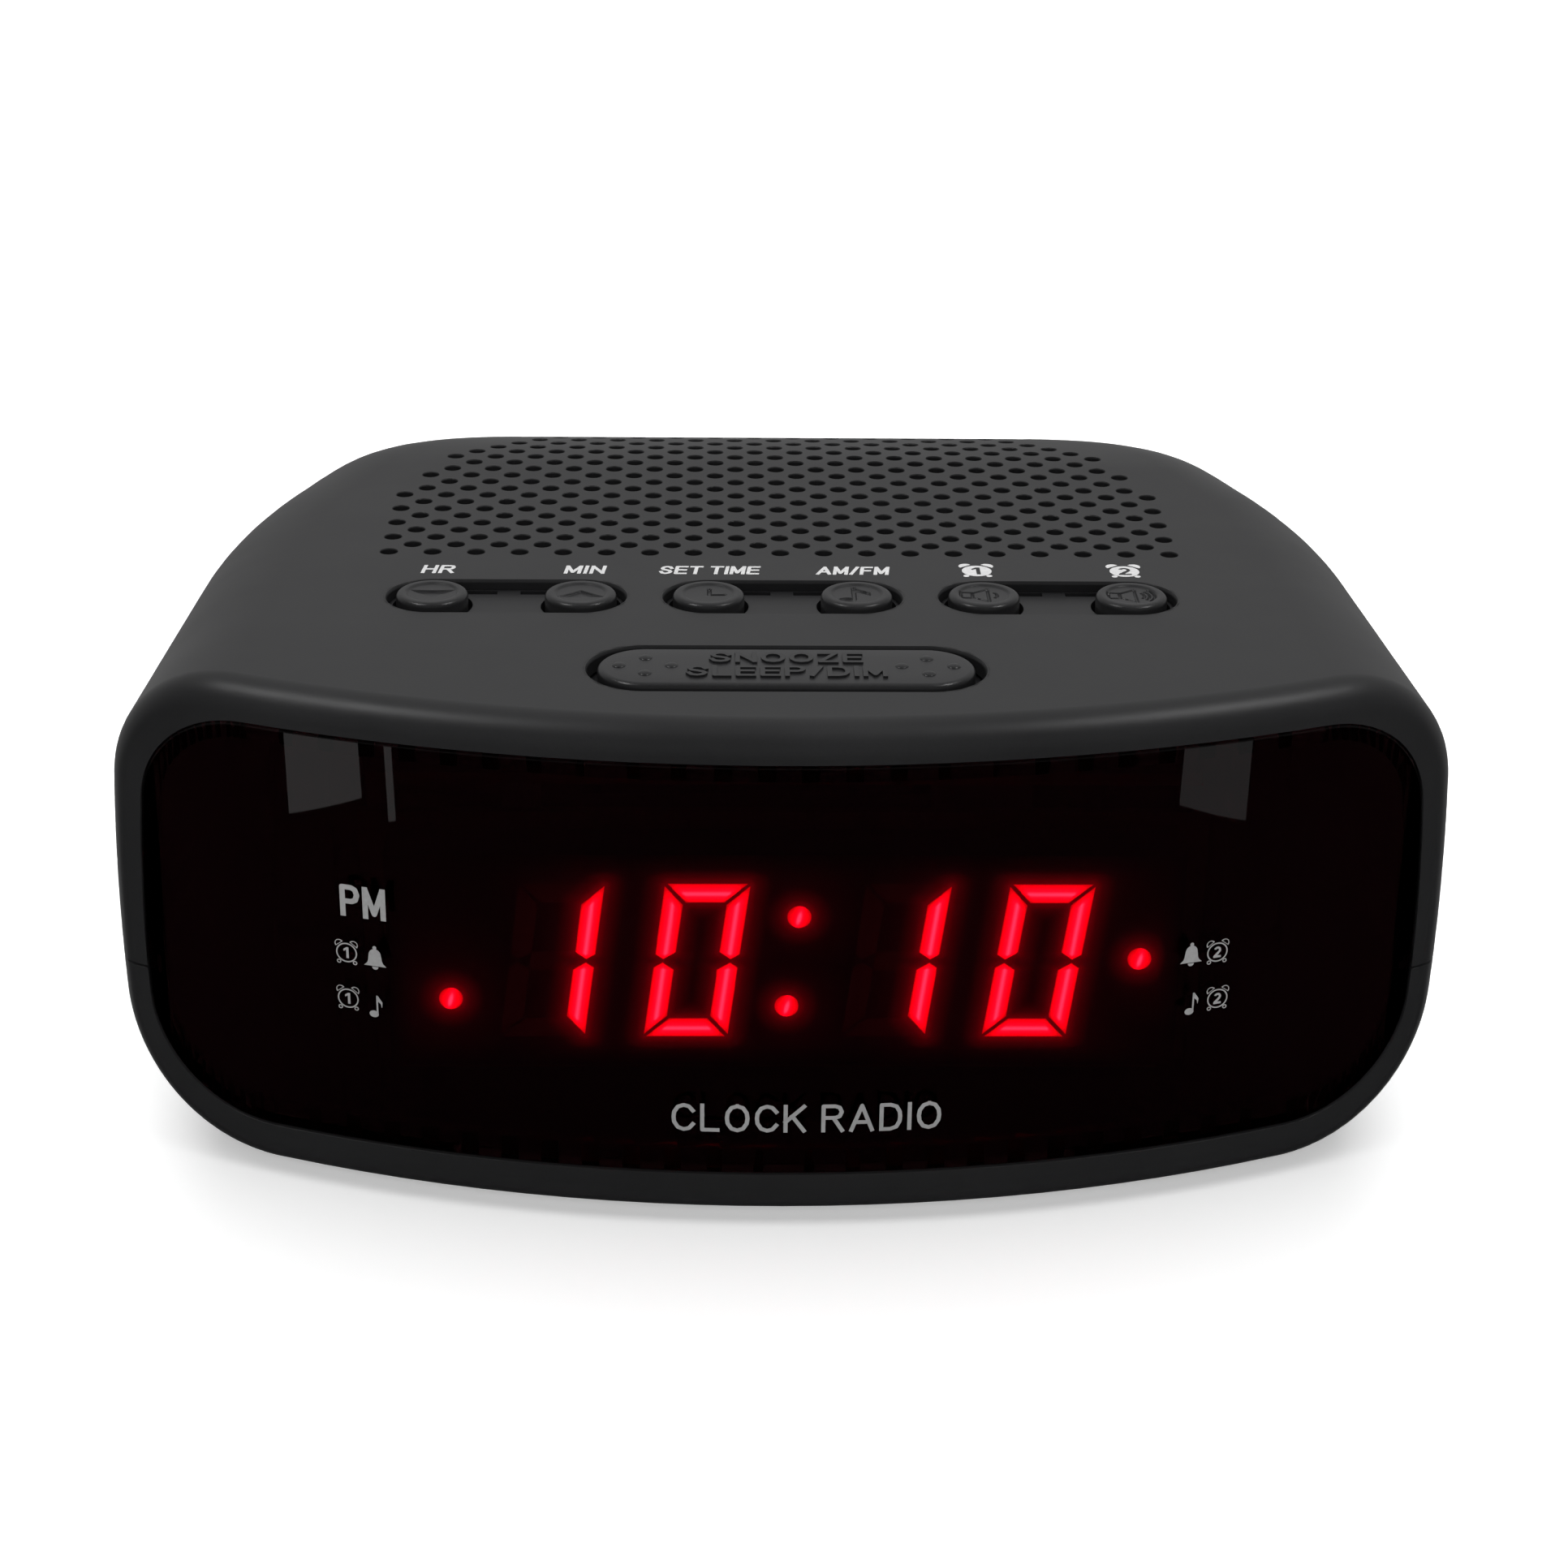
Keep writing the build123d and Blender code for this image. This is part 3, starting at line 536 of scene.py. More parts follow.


# display: lit and unlit light pipes of the digits, the dots, and a painted glow on the black reflector; the
# unlit pipes carry painted spill glow too

display = dict(
    height=22.6, width=11.1, bar=2.7, gap=0.35, slant=0.13, centreZ=35.1, digitX=(-30.5, -11.6, 14.6, 33.3),
    lit=("bc", "abcdef", "bc", "abcdef"), dots=((1.8, 41.6), (0.3, 28.4), (-43.9, 29.5), (46.6, 35.5)),
    dotRadius=1.57, dome=0.25, glowStep=0.6, glowNear=1.4, glowFar=4.6, glowWide=0.3,
)
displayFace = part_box("lit_segments")[0].y / mm


# Diffusing red resin over a light pipe, emitting by a ramp over the mesh's own core attribute; it serves the
# lit pipes, and the painted glow of the unlit pipes and the reflector face.
def ledGlowMaterial(name, stops, strength):
    mat, tree, shader, _ = newMaterial(name, {"Base Color": hexColour("#1a0507"), "Roughness": 0.35,
                                              "Emission Strength": strength})
    core = addNode(tree, "ShaderNodeAttribute", attribute_name="core")
    link(tree, ramp(tree, core.outputs["Fac"], stops).outputs["Color"], shader, "Emission Color")
    return mat


litResin = ledGlowMaterial("red diffusing resin, lit", [
    (0.0, "#a80010"), (0.3, "#ff0022"), (0.7, "#ff1440"), (1.0, "#ff5f8c"),
], 40.0)
# Unlit pipes emit too: painted spill glow from the lit digits, faint even far from them.
unlitResinPaintedGlow = ledGlowMaterial("red diffusing resin, unlit, painted glow", [
    (0.0, "#170305"), (0.25, "#260408"), (0.6, "#600012"), (1.0, "#9c001c"),
], 10.0)


# Outer and inner edge of one bar of an upright digit, each as three points.
def barCurves(kind):
    w, h, t, g = display["width"] / 2, display["height"] / 2, display["bar"], display["gap"]
    if kind in "ad":
        outer = [(-w + g, h), (0, h), (w - g, h)]
        inner = [(-w + t + g, h - t), (0, h - t), (w - t - g, h - t)]
        flipX, flipZ = 1, 1 if kind == "a" else -1
    elif kind == "g":
        outer = [(-w + t, t / 2), (0, t / 2), (w - t, t / 2)]
        inner = [(-w + t, -t / 2), (0, -t / 2), (w - t, -t / 2)]
        flipX = flipZ = 1
    else:
        tip = (w - t * 0.42, g * 0.7)
        outer = [(w, h - g), (w, g + t * 0.24), tip]
        inner = [(w - t, h - t - g), (w - t, g + t * 0.36), tip]
        flipX = 1 if kind in "bc" else -1
        flipZ = 1 if kind in "bf" else -1
    return [np.array(c) * (flipX, flipZ) for c in (outer, inner)]


# A bar as a grid between its two long edges, domed across; core is 0 at the edges, 1 along the middle.
def barPatch(kind, digitX):
    outer, inner = barCurves(kind)
    along, across = np.linspace(0, 1, 25), np.linspace(0, 1, 9)
    knots = (0, 0.875 if kind in "bcef" else 0.5, 1)
    edges = [np.stack([np.interp(along, knots, c[:, i]) for i in (0, 1)], -1) for c in (outer, inner)]
    t = across[:, None, None]
    flat = edges[0][None] * (1 - t) + edges[1][None] * t
    ridge = 1 - np.abs(2 * across - 1)
    ends = np.clip(np.minimum(along, 1 - along) / 0.12, 0, 1)
    core = ridge[:, None] * ends[None]
    x = digitX + flat[..., 0] + display["slant"] * flat[..., 1]
    y = displayFace - display["dome"] * (1 - (1 - core) ** 2) - 0.05
    return np.stack([x, y, display["centreZ"] + flat[..., 1]], -1), core


# A domed disc; its core is the bright streak across the lens of the light pipe.
def dotPatch(x, z):
    r = np.linspace(0, 1, 7)[:, None]
    a = np.linspace(0, 2 * np.pi, 25)[None, :-1]
    px, pz = r * np.cos(a), r * np.sin(a)
    y = displayFace - 0.05 - 2 * display["dome"] * np.sqrt(1 - 0.98 * r ** 2) + 0 * a
    streak = 0.8 * np.exp(-((px - 0.25 * pz) / 0.32) ** 2) * (1 - 0.5 * r ** 2)
    core = np.clip(streak + 0.25 * (1 - r ** 2), 0, 1)
    return np.stack([x + display["dotRadius"] * px, y, z + display["dotRadius"] * pz], -1), core


# Closed pads from domed patches: the front is the patch, the back lies flat behind it.
def patchesPiece(name, patches, material, replaces):
    verts, faces, core, used = [], [], [], 0
    for (points, value), wrap in patches:
        rows, columns = points.shape[:2]
        back = points.copy()
        back[..., 1] = displayFace + 0.4
        for sheet in (points, back):
            verts.append(sheet.reshape(-1, 3))
            core.append(value.ravel())
        faces += gridFaces(rows, columns, used, wrap)
        faces += [f[::-1] for f in gridFaces(rows, columns, used + rows * columns, wrap)]
        index = np.arange(rows * columns).reshape(rows, columns) + used
        border = [index[0], index[1:, -1], index[-1, -2::-1], index[-2:0:-1, 0]]
        rim = index[-1] if wrap else np.concatenate(border)
        other = rim + rows * columns
        faces += np.stack([rim, np.roll(rim, -1), np.roll(other, -1), other], -1).tolist()
        used += 2 * rows * columns
    mesh = meshFrom(name, np.concatenate(verts) * mm, faces)
    attribute = mesh.attributes.new("core", "FLOAT", "POINT")
    attribute.data.foreach_set("value", np.concatenate(core).astype(np.float32))
    tidyMesh(mesh, merge=0.001 * mm)
    return addPiece(name, mesh, "root", material, replaces, 50)


litBars, unlitBars = [], []
for digitX, names in zip(display["digitX"], display["lit"]):
    for kind in "abcdefg":
        (litBars if kind in names else unlitBars).append((barPatch(kind, digitX), False))
patchesPiece("litSegments", litBars, litResin, ["lit_segments"])
dotPatches = [(dotPatch(x, z), True) for x, z in display["dots"]]
patchesPiece("indicatorDots", dotPatches, litResin, ["indicator_dots"])


# Painted glow from 1 to 0 with the distance to anything lit: a short and a long exponential fall.
def glowAt(x, z):
    away = np.full(x.shape, 1e9)
    for (points, _), _ in litBars + dotPatches:
        source = points.reshape(-1, 3)
        away = np.minimum(away, np.hypot(x[..., None] - source[:, 0], z[..., None] - source[:, 2]).min(-1))
    near, far = np.exp(-away / display["glowNear"]), np.exp(-away / display["glowFar"])
    return (1 - display["glowWide"]) * near + display["glowWide"] * far


# Face of the reflector as a grid of corners glowStep apart, carrying the painted glow; the glow dies out at
# its edges.
def glowSheet():
    low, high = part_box("display_reflector")
    nx = int((high.x - low.x) / mm / display["glowStep"]) + 1
    nz = int((high.z - low.z) / mm / display["glowStep"]) + 1
    x, z = np.meshgrid(np.linspace(low.x, high.x, nx) / mm, np.linspace(low.z, high.z, nz) / mm)
    edge = np.minimum.reduce([x - x.min(), x.max() - x, z - z.min(), z.max() - z]) / 3
    glow = glowAt(x, z) * np.clip(edge, 0, 1)
    front = np.stack([x, np.full_like(x, displayFace - 0.02), z], -1)
    mesh = meshFrom("displayGlow", front.reshape(-1, 3) * mm, gridFaces(nz, nx))
    attribute = mesh.attributes.new("core", "FLOAT", "POINT")
    attribute.data.foreach_set("value", glow.ravel().astype(np.float32))
    return mesh


# The unlit bars' core is the painted glow of the lit bars and dots near them.
unlitBars = [((points, glowAt(points[..., 0], points[..., 2])), wrap) for (points, _), wrap in unlitBars]
patchesPiece("unlitSegments", unlitBars, unlitResinPaintedGlow, ["unlit_segments"])
# Painted light: the reflector's red halo is an emitting sheet on its face, not light cast by the digits.
paintedReflectorGlow = ledGlowMaterial("black reflector face, painted glow of the digits", [
    (0.0, "#000000"), (0.25, "#1c0004"), (0.6, "#5a0010"), (1.0, "#9c001c"),
], 10.0)
displayGlow = addPiece("displayGlow", glowSheet(), "root", paintedReflectorGlow, [], 0)
film = displayGlow.modifiers.new("film", "SOLIDIFY")
film.thickness, film.offset = 0.01 * mm, 0.0
print("display made")


# turned pieces and keys

# A profile of (radius, height) carried round an upright axis at x, y: rows x sides corners, millimetres.
def turnedGrid(profile, sides, x=0.0, y=0.0):
    turn = np.arange(sides) / sides * 2 * np.pi
    radius, height = np.array(profile, float).T
    return np.stack([
        x + radius[:, None] * np.cos(turn), y + radius[:, None] * np.sin(turn),
        height[:, None] + 0 * turn,
    ], -1)


# Ring-shaped rows as a closed mesh.
def gridMesh(name, grid):
    rows, columns = grid.shape[:2]
    mesh = meshFrom(name, grid.reshape(-1, 3) * mm, gridFaces(rows, columns, 0, True))
    return tidyMesh(mesh, merge=0.001 * mm)


# Signed distance to a closed polygon, negative inside.
def polygonDistance(x, y, corners):
    a = np.array(corners, float)
    b = np.roll(a, -1, axis=0)
    p = np.stack([x, y], -1)[..., None, :]
    along = np.clip(np.sum((p - a) * (b - a), -1) / np.sum((b - a) ** 2, -1), 0, 1)
    gap = np.linalg.norm(p - a - along[..., None] * (b - a), axis=-1).min(-1)
    inside = insideOutline(np.stack([x.ravel(), y.ravel()], -1), a).reshape(x.shape)
    return np.where(inside, -gap, gap)


# Distance outside a stroke of that width along a polyline.
def strokeDistance(x, y, points, width):
    a, b = np.array(points[:-1], float), np.array(points[1:], float)
    p = np.stack([x, y], -1)[..., None, :]
    along = np.clip(np.sum((p - a) * (b - a), -1) / np.sum((b - a) ** 2, -1), 0, 1)
    return np.linalg.norm(p - a - along[..., None] * (b - a), axis=-1).min(-1) - width / 2


# Points of an arc about x, y, from start to end degrees.
def arcPoints(x, y, radius, start, end, count=13):
    turn = np.radians(np.linspace(start, end, count))
    return [(x + radius * math.cos(t), y + radius * math.sin(t)) for t in turn]


# Outline of a key's sign, as the least distance over its parts.
def glyphDistance(kind, x, y):
    if kind == "hour":
        parts = [polygonDistance(x, y, [(-3.0, 1.15), (3.0, 1.15), (0, -1.35)])]
    elif kind == "minute":
        parts = [polygonDistance(x, y, [(-3.1, -1.15), (3.1, -1.15), (0, 1.35)])]
    elif kind == "set_time":
        parts = [strokeDistance(x, y, [(0.1, 1.9), (0.1, -0.2), (2.2, -0.2)], 0.5)]
    elif kind == "band":
        head = np.hypot((x + 1.3) / 1.15, (y + 1.9) / 0.85) - 1
        parts = [head, strokeDistance(x, y, [(-0.35, -1.7), (-0.35, 2.6)], 0.55),
                 polygonDistance(x, y, [(-0.35, 2.7), (1.9, 0.9), (1.9, -0.2), (-0.35, 1.5)])]
    else:
        parts = [
            strokeDistance(x, y, [(-3.2, 1.0), (-1.6, 1.0), (-1.6, -1.0), (-3.2, -1.0), (-3.2, 1.0)], 0.35),
            strokeDistance(x, y, [(-1.5, 0.9), (0.6, 2.3), (0.6, -2.3), (-1.5, -0.9)], 0.35),
            strokeDistance(x, y, arcPoints(0.3, 0, 1.5, -38, 38), 0.35),
        ]
        if kind == "alarm_two":
            parts += [strokeDistance(x, y, arcPoints(0.3, 0, r, -42, 42), 0.32) for r in (2.2, 2.9)]
    return np.minimum.reduce(parts)


key = dict(radius=4.93, roll=0.75, rimWidth=0.45, dish=0.32, glyphDepth=0.3, soft=0.16,
           shoulderZ=68.2, flangeZ=67.0, flange=1.5, stem=2.0, sides=144, rings=46, rimSlope=0.5)


# A key turned about its axis: dished face inside a soft rim, rolled edge, skirt, flange and stem;
# its sign is sunk into the dish.
def keyMesh(name, node, kind):
    k = key
    low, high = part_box(node)
    x, y, top = (low.x + high.x) / 2 / mm, (low.y + high.y) / 2 / mm, high.z / mm
    rim = k["radius"] - k["roll"] - k["rimWidth"]
    r = np.linspace(0, rim, k["rings"])
    rise = np.clip((r - rim + k["rimSlope"]) / k["rimSlope"], 0, 1)
    dish = top - k["dish"] * (1 - rise * rise * (3 - 2 * rise)) * (0.75 + 0.25 * (1 - (r / rim) ** 2))
    face = list(zip(r, dish))
    roll = [(k["radius"] - k["roll"] * (1 - math.sin(t)), top - k["roll"] * (1 - math.cos(t)))
            for t in np.radians(np.linspace(0, 90, 8))]
    below = [(k["radius"], k["shoulderZ"]), (k["radius"] + k["flange"], k["shoulderZ"]),
             (k["radius"] + k["flange"], k["flangeZ"]), (k["stem"], k["flangeZ"]),
             (k["stem"], low.z / mm), (0, low.z / mm)]
    grid = turnedGrid(face + roll + below, k["sides"], x, y)
    inner = grid[:k["rings"]]
    away = glyphDistance(kind, inner[..., 0] - x, inner[..., 1] - y)
    inner[..., 2] -= k["glyphDepth"] * np.clip(0.5 - away / k["soft"], 0, 1)
    return gridMesh(name, grid)


for kind in ("hour", "minute", "set_time", "band", "alarm_one", "alarm_two"):
    node = kind + "_button"
    mesh = keyMesh(kind + "Key", node, kind)
    addPiece(kind + "Key", mesh, kind + "_key", keyPlastic, [node], 40)
print("keys made")


# lettering and signs

# Each letter's strokes run through points of a unit box; its width is in heights.
letters = {
    "A": (0.92, ((0, 0, 0.5, 1, 1, 0), (0.18, 0.32, 0.82, 0.32))),
    "C": (0.86, ((1, 0.78, 0.8, 0.95, 0.52, 1, 0.22, 0.92, 0.03, 0.7, 0, 0.5,
                  0.03, 0.3, 0.22, 0.08, 0.52, 0, 0.8, 0.05, 1, 0.22),)),
    "D": (0.84, ((0, 0, 0, 1, 0.48, 1, 0.8, 0.92, 0.97, 0.7, 1, 0.5, 0.97, 0.3, 0.8, 0.08, 0.48, 0, 0, 0),)),
    "E": (0.74, ((1, 0, 0, 0, 0, 1, 1, 1), (0, 0.52, 0.92, 0.52))),
    "F": (0.7, ((0, 0, 0, 1, 1, 1), (0, 0.5, 0.85, 0.5))),
    "H": (0.8, ((0, 0, 0, 1), (1, 0, 1, 1), (0, 0.52, 1, 0.52))),
    "I": (0.0, ((0, 0, 0, 1),)),
    "K": (0.82, ((0, 0, 0, 1), (1, 1, 0, 0.36), (0.36, 0.6, 1, 0))),
    "L": (0.68, ((0, 1, 0, 0, 1, 0),)),
    "M": (0.92, ((0, 0, 0, 1), (1, 0, 1, 1), (0.04, 0.97, 0.5, 0.12, 0.96, 0.97))),
    "N": (0.8, ((0, 0, 0, 1), (1, 0, 1, 1), (0.03, 0.97, 0.97, 0.03))),
    "O": (0.92, ((0.5, 1, 0.78, 0.93, 0.96, 0.72, 1, 0.5, 0.96, 0.28, 0.78, 0.07, 0.5, 0,
                  0.22, 0.07, 0.04, 0.28, 0, 0.5, 0.04, 0.72, 0.22, 0.93, 0.5, 1),)),
    "P": (0.76, ((0, 0, 0, 1, 0.62, 1, 0.88, 0.93, 1, 0.74, 0.88, 0.55, 0.62, 0.48, 0, 0.48),)),
    "R": (0.84, ((0, 0, 0, 1, 0.62, 1, 0.86, 0.94, 0.97, 0.76, 0.86, 0.58, 0.62, 0.52, 0, 0.52),
                 (0.55, 0.5, 1, 0))),
    "S": (0.78, ((0.98, 0.76, 0.82, 0.94, 0.5, 1, 0.18, 0.93, 0.04, 0.75, 0.18, 0.58, 0.5, 0.5, 0.82, 0.42,
                  0.98, 0.25, 0.82, 0.07, 0.5, 0, 0.16, 0.06, 0, 0.25),)),
    "T": (0.78, ((0, 1, 1, 1), (0.5, 0, 0.5, 1))),
    "Z": (0.76, ((0, 1, 1, 1, 0, 0, 1, 0),)),
    "/": (0.4, ((0, 0, 1, 1),)),
}


# Words drawn with strokes of one width and squared ends, stretched to width x height about the origin:
# each run of a stroke is a rectangle, each turn a disc, and their union is filled.
def wordsMesh(words, width, height, thick, stroke, lean=0.0):
    gap, pen = 0.26, 0.0
    runs = []
    for letter in words:
        if letter == " ":
            pen += 0.45
            continue
        wide, strokes = letters[letter]
        for points in strokes:
            runs.append(np.array(points, float).reshape(-1, 2) * (wide, 1.0) + (pen, 0.0))
        pen += wide + gap + 0.16
    pen -= gap + 0.16
    half = stroke / 2
    shapes = []
    for run in runs:
        run = (run / (pen, 1.0) - 0.5) * (width - stroke, height - stroke)
        step = np.diff(run, axis=0)
        step /= np.linalg.norm(step, axis=1)[:, None]
        across = np.stack([-step[:, 1], step[:, 0]], -1) * half
        a, b = run[:-1].copy(), run[1:].copy()
        a[0] -= step[0] * half
        b[-1] += step[-1] * half
        shapes += list(np.stack([a + across, a - across, b - across, b + across], 1))
        shapes += [circleLoop(x, y, half, count=12) for x, y in run[1:-1]]
    shapes = [shape + np.column_stack([shape[:, 1] * lean, 0 * shape[:, 1]]) for shape in shapes]
    return signMesh([shapes], thick, True)


# Outlines filled between an outer loop and the holes in it: the plan is triangulated, a triangle is kept
# where its middle lies in an odd number of loops, or in any of them for a union; then come bottom and walls.
def signMesh(groups, thick, union=False):
    meshes = []
    for loops in groups:
        points = [Vector(p) for loop in loops for p in loop]
        edges, at = [], 0
        for loop in loops:
            edges += [(at + i, at + (i + 1) % len(loop)) for i in range(len(loop))]
            at += len(loop)
        flat, _, faces, _, _, _ = delaunay_2d_cdt(points, edges, [], 0, 1e-6)
        flat, faces = np.array([p[:] for p in flat]), np.array(faces)
        middle = flat[faces].mean(1)
        depth = np.sum([insideOutline(middle, np.array(loop)) for loop in loops], 0)
        faces = faces[depth > 0 if union else depth % 2 == 1]
        n = len(flat)
        sides = np.concatenate([faces[:, [0, 1]], faces[:, [1, 2]], faces[:, [2, 0]]])
        both = np.sort(sides, 1)
        _, first, count = np.unique(both, axis=0, return_index=True, return_counts=True)
        rim = sides[first[count == 1]]
        walls = np.stack([rim[:, 1], rim[:, 0], rim[:, 0] + n, rim[:, 1] + n], -1).tolist()
        upper, lower = (np.column_stack([flat, np.full(n, height)]) for height in (thick, 0.0))
        solid = np.concatenate([upper, lower])
        shell = faces.tolist() + (faces[:, ::-1] + n).tolist() + walls
        meshes.append(tidyMesh(meshFrom("sign", solid, shell), merge=1e-4))
    return joined("sign", meshes)


# Lays meshes on a surface: place takes (x, y, lift) in millimetres to metres.
def printedPiece(name, parts, place, body, material):
    meshes = []
    for mesh, x, y in parts:
        co = np.empty(len(mesh.vertices) * 3)
        mesh.vertices.foreach_get("co", co)
        mesh.vertices.foreach_set("co", place(co.reshape(-1, 3) + (x, y, 0)).ravel())
        meshes.append(mesh)
    return addPiece(name, joined(name, meshes), body, material, (), 0)


# x and drawing-frame y on the upper skin; lift is upwards.
def onTop(co):
    x, y = co[:, 0] * mm, (co[:, 1] - shiftY) * mm
    return np.stack([x, y, skinHeight(x, y) + (co[:, 2] - 0.01) * mm], -1)


# x and height on the lens; lift is outwards.
def onLens(co):
    reach = form["frontRadius"] + co[:, 2] - 0.01
    return np.stack([co[:, 0], axisY - np.sqrt(reach ** 2 - co[:, 0] ** 2), co[:, 1]], -1) * mm


def scaled(groups, scale):
    return [[np.array(loop) * scale for loop in loops] for loops in groups]


# A circle's outline; stretch scales its height.
def circleLoop(x, y, radius, stretch=1.0, count=40):
    return np.array(arcPoints(x, y, radius, 0, 360 - 360 / count, count)) * (1, stretch)


# Half disc of a twin-bell clock, tilted outwards.
def bellLoop(side, scale=1.0):
    dome = np.array(arcPoints(0, 0, 0.62 * scale, 0, 180, 15)) + (0, 0.07 * (1 - scale) * 4)
    tilt = math.radians(-38 * side)
    turn = np.array([[math.cos(tilt), math.sin(tilt)], [-math.sin(tilt), math.cos(tilt)]])
    return dome @ turn + (0.95 * side, 1.22)


# Outline of a digit 1 or 2, about 1.1 wide and 1.7 high.
def digitLoop(digit):
    if digit == "1":
        return np.array([(-0.05, -0.8), (0.28, -0.8), (0.28, 0.8), (0.0, 0.8),
                         (-0.4, 0.5), (-0.4, 0.2), (-0.05, 0.42)])
    outer = arcPoints(0, 0.32, 0.5, 160, -40, 12)
    inner = arcPoints(0, 0.32, 0.2, -40, 160, 12)
    foot = [(-0.02, -0.5), (0.52, -0.5), (0.52, -0.8), (-0.52, -0.8), (-0.52, -0.52)]
    return np.array(outer + foot + inner)


# A twin-bell alarm clock with a digit on its dial, solid or in outline.
def clockSign(digit, solid):
    if solid:
        groups = [[circleLoop(0, 0, 1.5), digitLoop(digit) * 1.25]]
        groups += [[bellLoop(side) * 1.12] for side in (-1, 1)]
        groups += [[circleLoop(side * 1.15, -1.42, 0.3)] for side in (-1, 1)]
        return groups
    groups = [[circleLoop(0, 0, 1.42), circleLoop(0, 0, 1.24)], [digitLoop(digit)]]
    groups += [[bellLoop(side), bellLoop(side, 0.72)] for side in (-1, 1)]
    groups += [[circleLoop(side * 1.08, -1.38, radius) for radius in (0.3, 0.16)] for side in (-1, 1)]
    return groups


# A hand bell: dome flaring to a rim, with a knob and a clapper.
def bellSign():
    half = np.interp(np.linspace(0, 1, 22), (0, 0.04, 0.12, 0.25, 0.45, 0.7, 0.84, 0.94, 1),
                     (0.12, 0.38, 0.62, 0.78, 0.86, 0.94, 1.08, 1.35, 1.5))
    right = np.stack([half, 1.5 - 2.5 * np.linspace(0, 1, 22)], -1)
    body = np.concatenate([right, right[::-1] * (-1, 1)])
    return [[body], [circleLoop(0, 1.68, 0.26)], [np.array(arcPoints(0, -1.1, 0.42, 180, 360, 12))]]


# A quaver: tilted head, stem and flag.
def noteSign():
    head = circleLoop(0, 0, 0.62, 0.8) + (-0.25, -1.25)
    stem = np.array([(0.12, -1.3), (0.34, -1.2), (0.34, 1.5), (0.12, 1.5)])
    flag = np.array([(0.2, 1.5), (0.34, 1.5), (0.95, 0.55), (0.85, -0.25), (0.7, 0.35), (0.25, 0.75)])
    return [[head], [stem], [flag]]


# screen printing ink, thin and even, with a faint texture from the mesh
ink = dict(dark="#bcbcbc", light="#cccccc", grain=0.5, grainDepth=0.002, patch=6.0, rough=(0.5, 0.6))
screenInk = surface("white screen ink", ink, IOR=1.5)
lensInk = surface("grey screen ink on the lens", dict(ink, dark="#8a8a8a", light="#979797"), IOR=1.5)

labels = dict(
    y=-10.2, height=3.2, ink=0.03, stroke=0.52, lean=0.1, clockSize=1.4,
    words=(("HR", -48.1, 4.6), ("MIN", -27.55, 5.7), ("SET TIME", -10.05, 14.1), ("AM/FM", 10.1, 10.2)),
    clocks=(("1", 27.6), ("2", 48.5)),
)
topParts = []
for words, x, width in labels["words"]:
    mesh = wordsMesh(words, width, labels["height"], labels["ink"], labels["stroke"], labels["lean"])
    topParts.append((mesh, x, labels["y"]))
for digit, x in labels["clocks"]:
    mesh = signMesh(scaled(clockSign(digit, True), labels["clockSize"]), labels["ink"])
    topParts.append((mesh, x, labels["y"] + 0.1))
printedPiece("topLabels", topParts, onTop, "root", screenInk)

lensPrint = dict(
    ink=0.03, words=(("PM", -55.0, 44.3, 6.1, 4.6, 0.72), ("CLOCK RADIO", 2.9, 16.7, 35.6, 4.2, 0.54)),
    signs=((clockSign("1", False), -57.5, 36.6), (clockSign("1", False), -57.6, 29.8),
           (clockSign("2", False), 57.0, 36.9), (clockSign("2", False), 57.5, 29.9),
           (bellSign(), -53.7, 36.2), (bellSign(), 53.4, 36.9),
           (noteSign(), -53.9, 29.3), (noteSign(), 53.9, 29.8)),
)
lensParts = [(wordsMesh(words, width, height, lensPrint["ink"], stroke), x, z)
             for words, x, z, width, height, stroke in lensPrint["words"]]
lensParts += [(signMesh(groups, lensPrint["ink"]), x, z) for groups, x, z in lensPrint["signs"]]
printedPiece("lensPrint", lensParts, onLens, "root", lensInk)
print("printing made")


# snooze bar: a stadium with a rolled edge, raised lettering and grip dimples

snooze = dict(
    half=18.3, radius=6.35, roll=0.8, lowZ=68.4, flangeZ=69.6, flange=2.6, sides=72, stem=2.0, footGap=0.06,
    letter=0.28, lines=(("SNOOZE", 20.0, 2.35), ("SLEEP/DIM", 26.0, -2.35)), letterHeight=3.5,
    dimpleX=18.4, dimples=((0, 2.6), (0, -2.6), (3.4, 0), (-3.4, 0)), dimpleRadius=0.95, dimpleHeight=0.4,
    proud=0.4,    # the drawn dimples stand that far above the face
)


